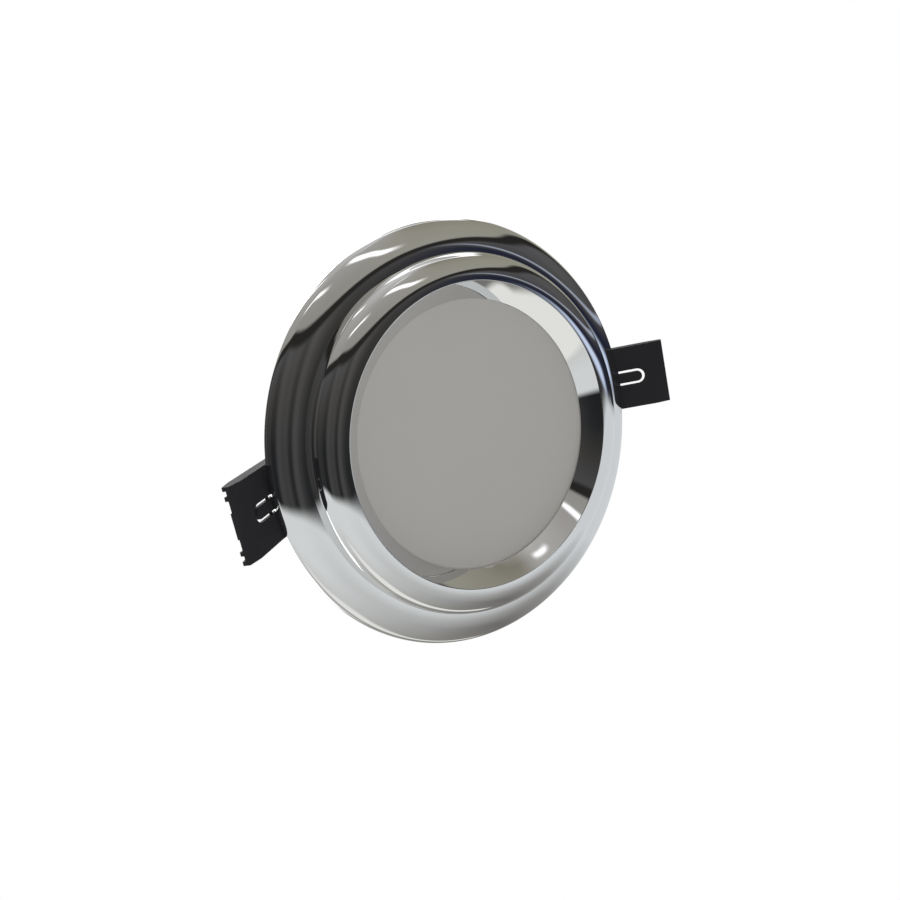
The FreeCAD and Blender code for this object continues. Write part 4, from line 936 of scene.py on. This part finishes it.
studio = sky.nodes.new("ShaderNodeBackground")
backdrop = sky.nodes.new("ShaderNodeBackground")
backdrop.inputs["Color"].default_value = (1, 1, 1, 1)
choose = sky.nodes.new("ShaderNodeMixShader")
sky_out = sky.nodes.new("ShaderNodeOutputWorld")
sky_link(mirrored, studio.inputs["Color"])
sky_link(sky.nodes.new("ShaderNodeLightPath").outputs["Is Camera Ray"], choose.inputs[0])
sky_link(studio.outputs[0], choose.inputs[1])
sky_link(backdrop.outputs[0], choose.inputs[2])
sky_link(choose.outputs[0], sky_out.inputs["Surface"])


# ------------------------------------------------------------------------------------------------
# Floor. A pale matt sheet just under the bezel, which only the camera sees. It fades to the
# backdrop's white away from the object, and is clear from below, where the photograph's camera
# stands.

FLOOR_GAP = 0.0002
FLOOR_HALF = 2.0
FLOOR_GREY = (0.9, 0.9, 0.9, 1)
FLOOR_GLOW = 0.12
FADE_FROM = 0.14
FADE_TO = 0.5
floor_z = cad_box[0][2] - FLOOR_GAP
corners = np.array([[-1, -1, 0], [1, -1, 0], [1, 1, 0], [-1, 1, 0]]) * FLOOR_HALF + (0, 0, floor_z)
floor_mesh = bpy.data.meshes.new("floor")
floor_mesh.from_pydata(corners.tolist(), [], [(0, 1, 2, 3)])
floor = placed("floor", floor_mesh)
floor_paint = bpy.data.materials.new("floor_paint")
floor_paint.use_nodes = True
paint = floor_paint.node_tree
paint.nodes.clear()
paint_link = paint.links.new
matt = paint.nodes.new("ShaderNodeBsdfDiffuse")
matt.inputs["Color"].default_value = FLOOR_GREY
glow = paint.nodes.new("ShaderNodeEmission")
glow.inputs["Strength"].default_value = FLOOR_GLOW
white = paint.nodes.new("ShaderNodeEmission")
clear = paint.nodes.new("ShaderNodeBsdfTransparent")
sheet = paint.nodes.new("ShaderNodeAddShader")
fade = paint.nodes.new("ShaderNodeMixShader")
pick = paint.nodes.new("ShaderNodeMixShader")
reach = paint.nodes.new("ShaderNodeVectorMath")
reach.operation = "LENGTH"
far = paint.nodes.new("ShaderNodeMapRange")
far.interpolation_type = "SMOOTHSTEP"
far.inputs["From Min"].default_value = FADE_FROM
far.inputs["From Max"].default_value = FADE_TO
paint_out = paint.nodes.new("ShaderNodeOutputMaterial")
paint_link(matt.outputs[0], sheet.inputs[0])
paint_link(glow.outputs[0], sheet.inputs[1])
paint_link(paint.nodes.new("ShaderNodeTexCoord").outputs["Object"], reach.inputs[0])
paint_link(reach.outputs["Value"], far.inputs["Value"])
paint_link(far.outputs[0], fade.inputs[0])
paint_link(sheet.outputs[0], fade.inputs[1])
paint_link(white.outputs[0], fade.inputs[2])
paint_link(paint.nodes.new("ShaderNodeNewGeometry").outputs["Backfacing"], pick.inputs[0])
paint_link(fade.outputs[0], pick.inputs[1])
paint_link(clear.outputs[0], pick.inputs[2])
paint_link(pick.outputs[0], paint_out.inputs["Surface"])
dress(floor, floor_paint)
floor.visible_diffuse = False
floor.visible_glossy = False
floor.visible_transmission = False
floor.visible_shadow = False


# ------------------------------------------------------------------------------------------------
# Lamps. Two soft square lamps above the back of the light, for the views from above, and one
# below for its face, which the chrome doesn't mirror.

LAMP_SIZE = 0.9


def lamp(name, at, power):
    """A square soft lamp that stands at a place in metres and shines at the middle of the
    object."""
    light = bpy.data.lights.new(name, "AREA")
    light.size = LAMP_SIZE
    light.energy = power
    made = placed(name, light)
    aim = np.array(at) / np.linalg.norm(at)
    side = np.cross((0, 1, 0), aim)
    side /= np.linalg.norm(side)
    made.matrix_world = aimed(side, np.cross(aim, side), aim, at)
    return made


lamp("top_lamp", (0.25, -0.5, 1.1), 6.0)
lamp("fill_lamp", (-0.7, 0.6, 0.8), 4.0)
front_lamp = lamp("front_lamp", (-0.3, -0.25, -0.92), 1.25)
front_lamp.visible_glossy = False
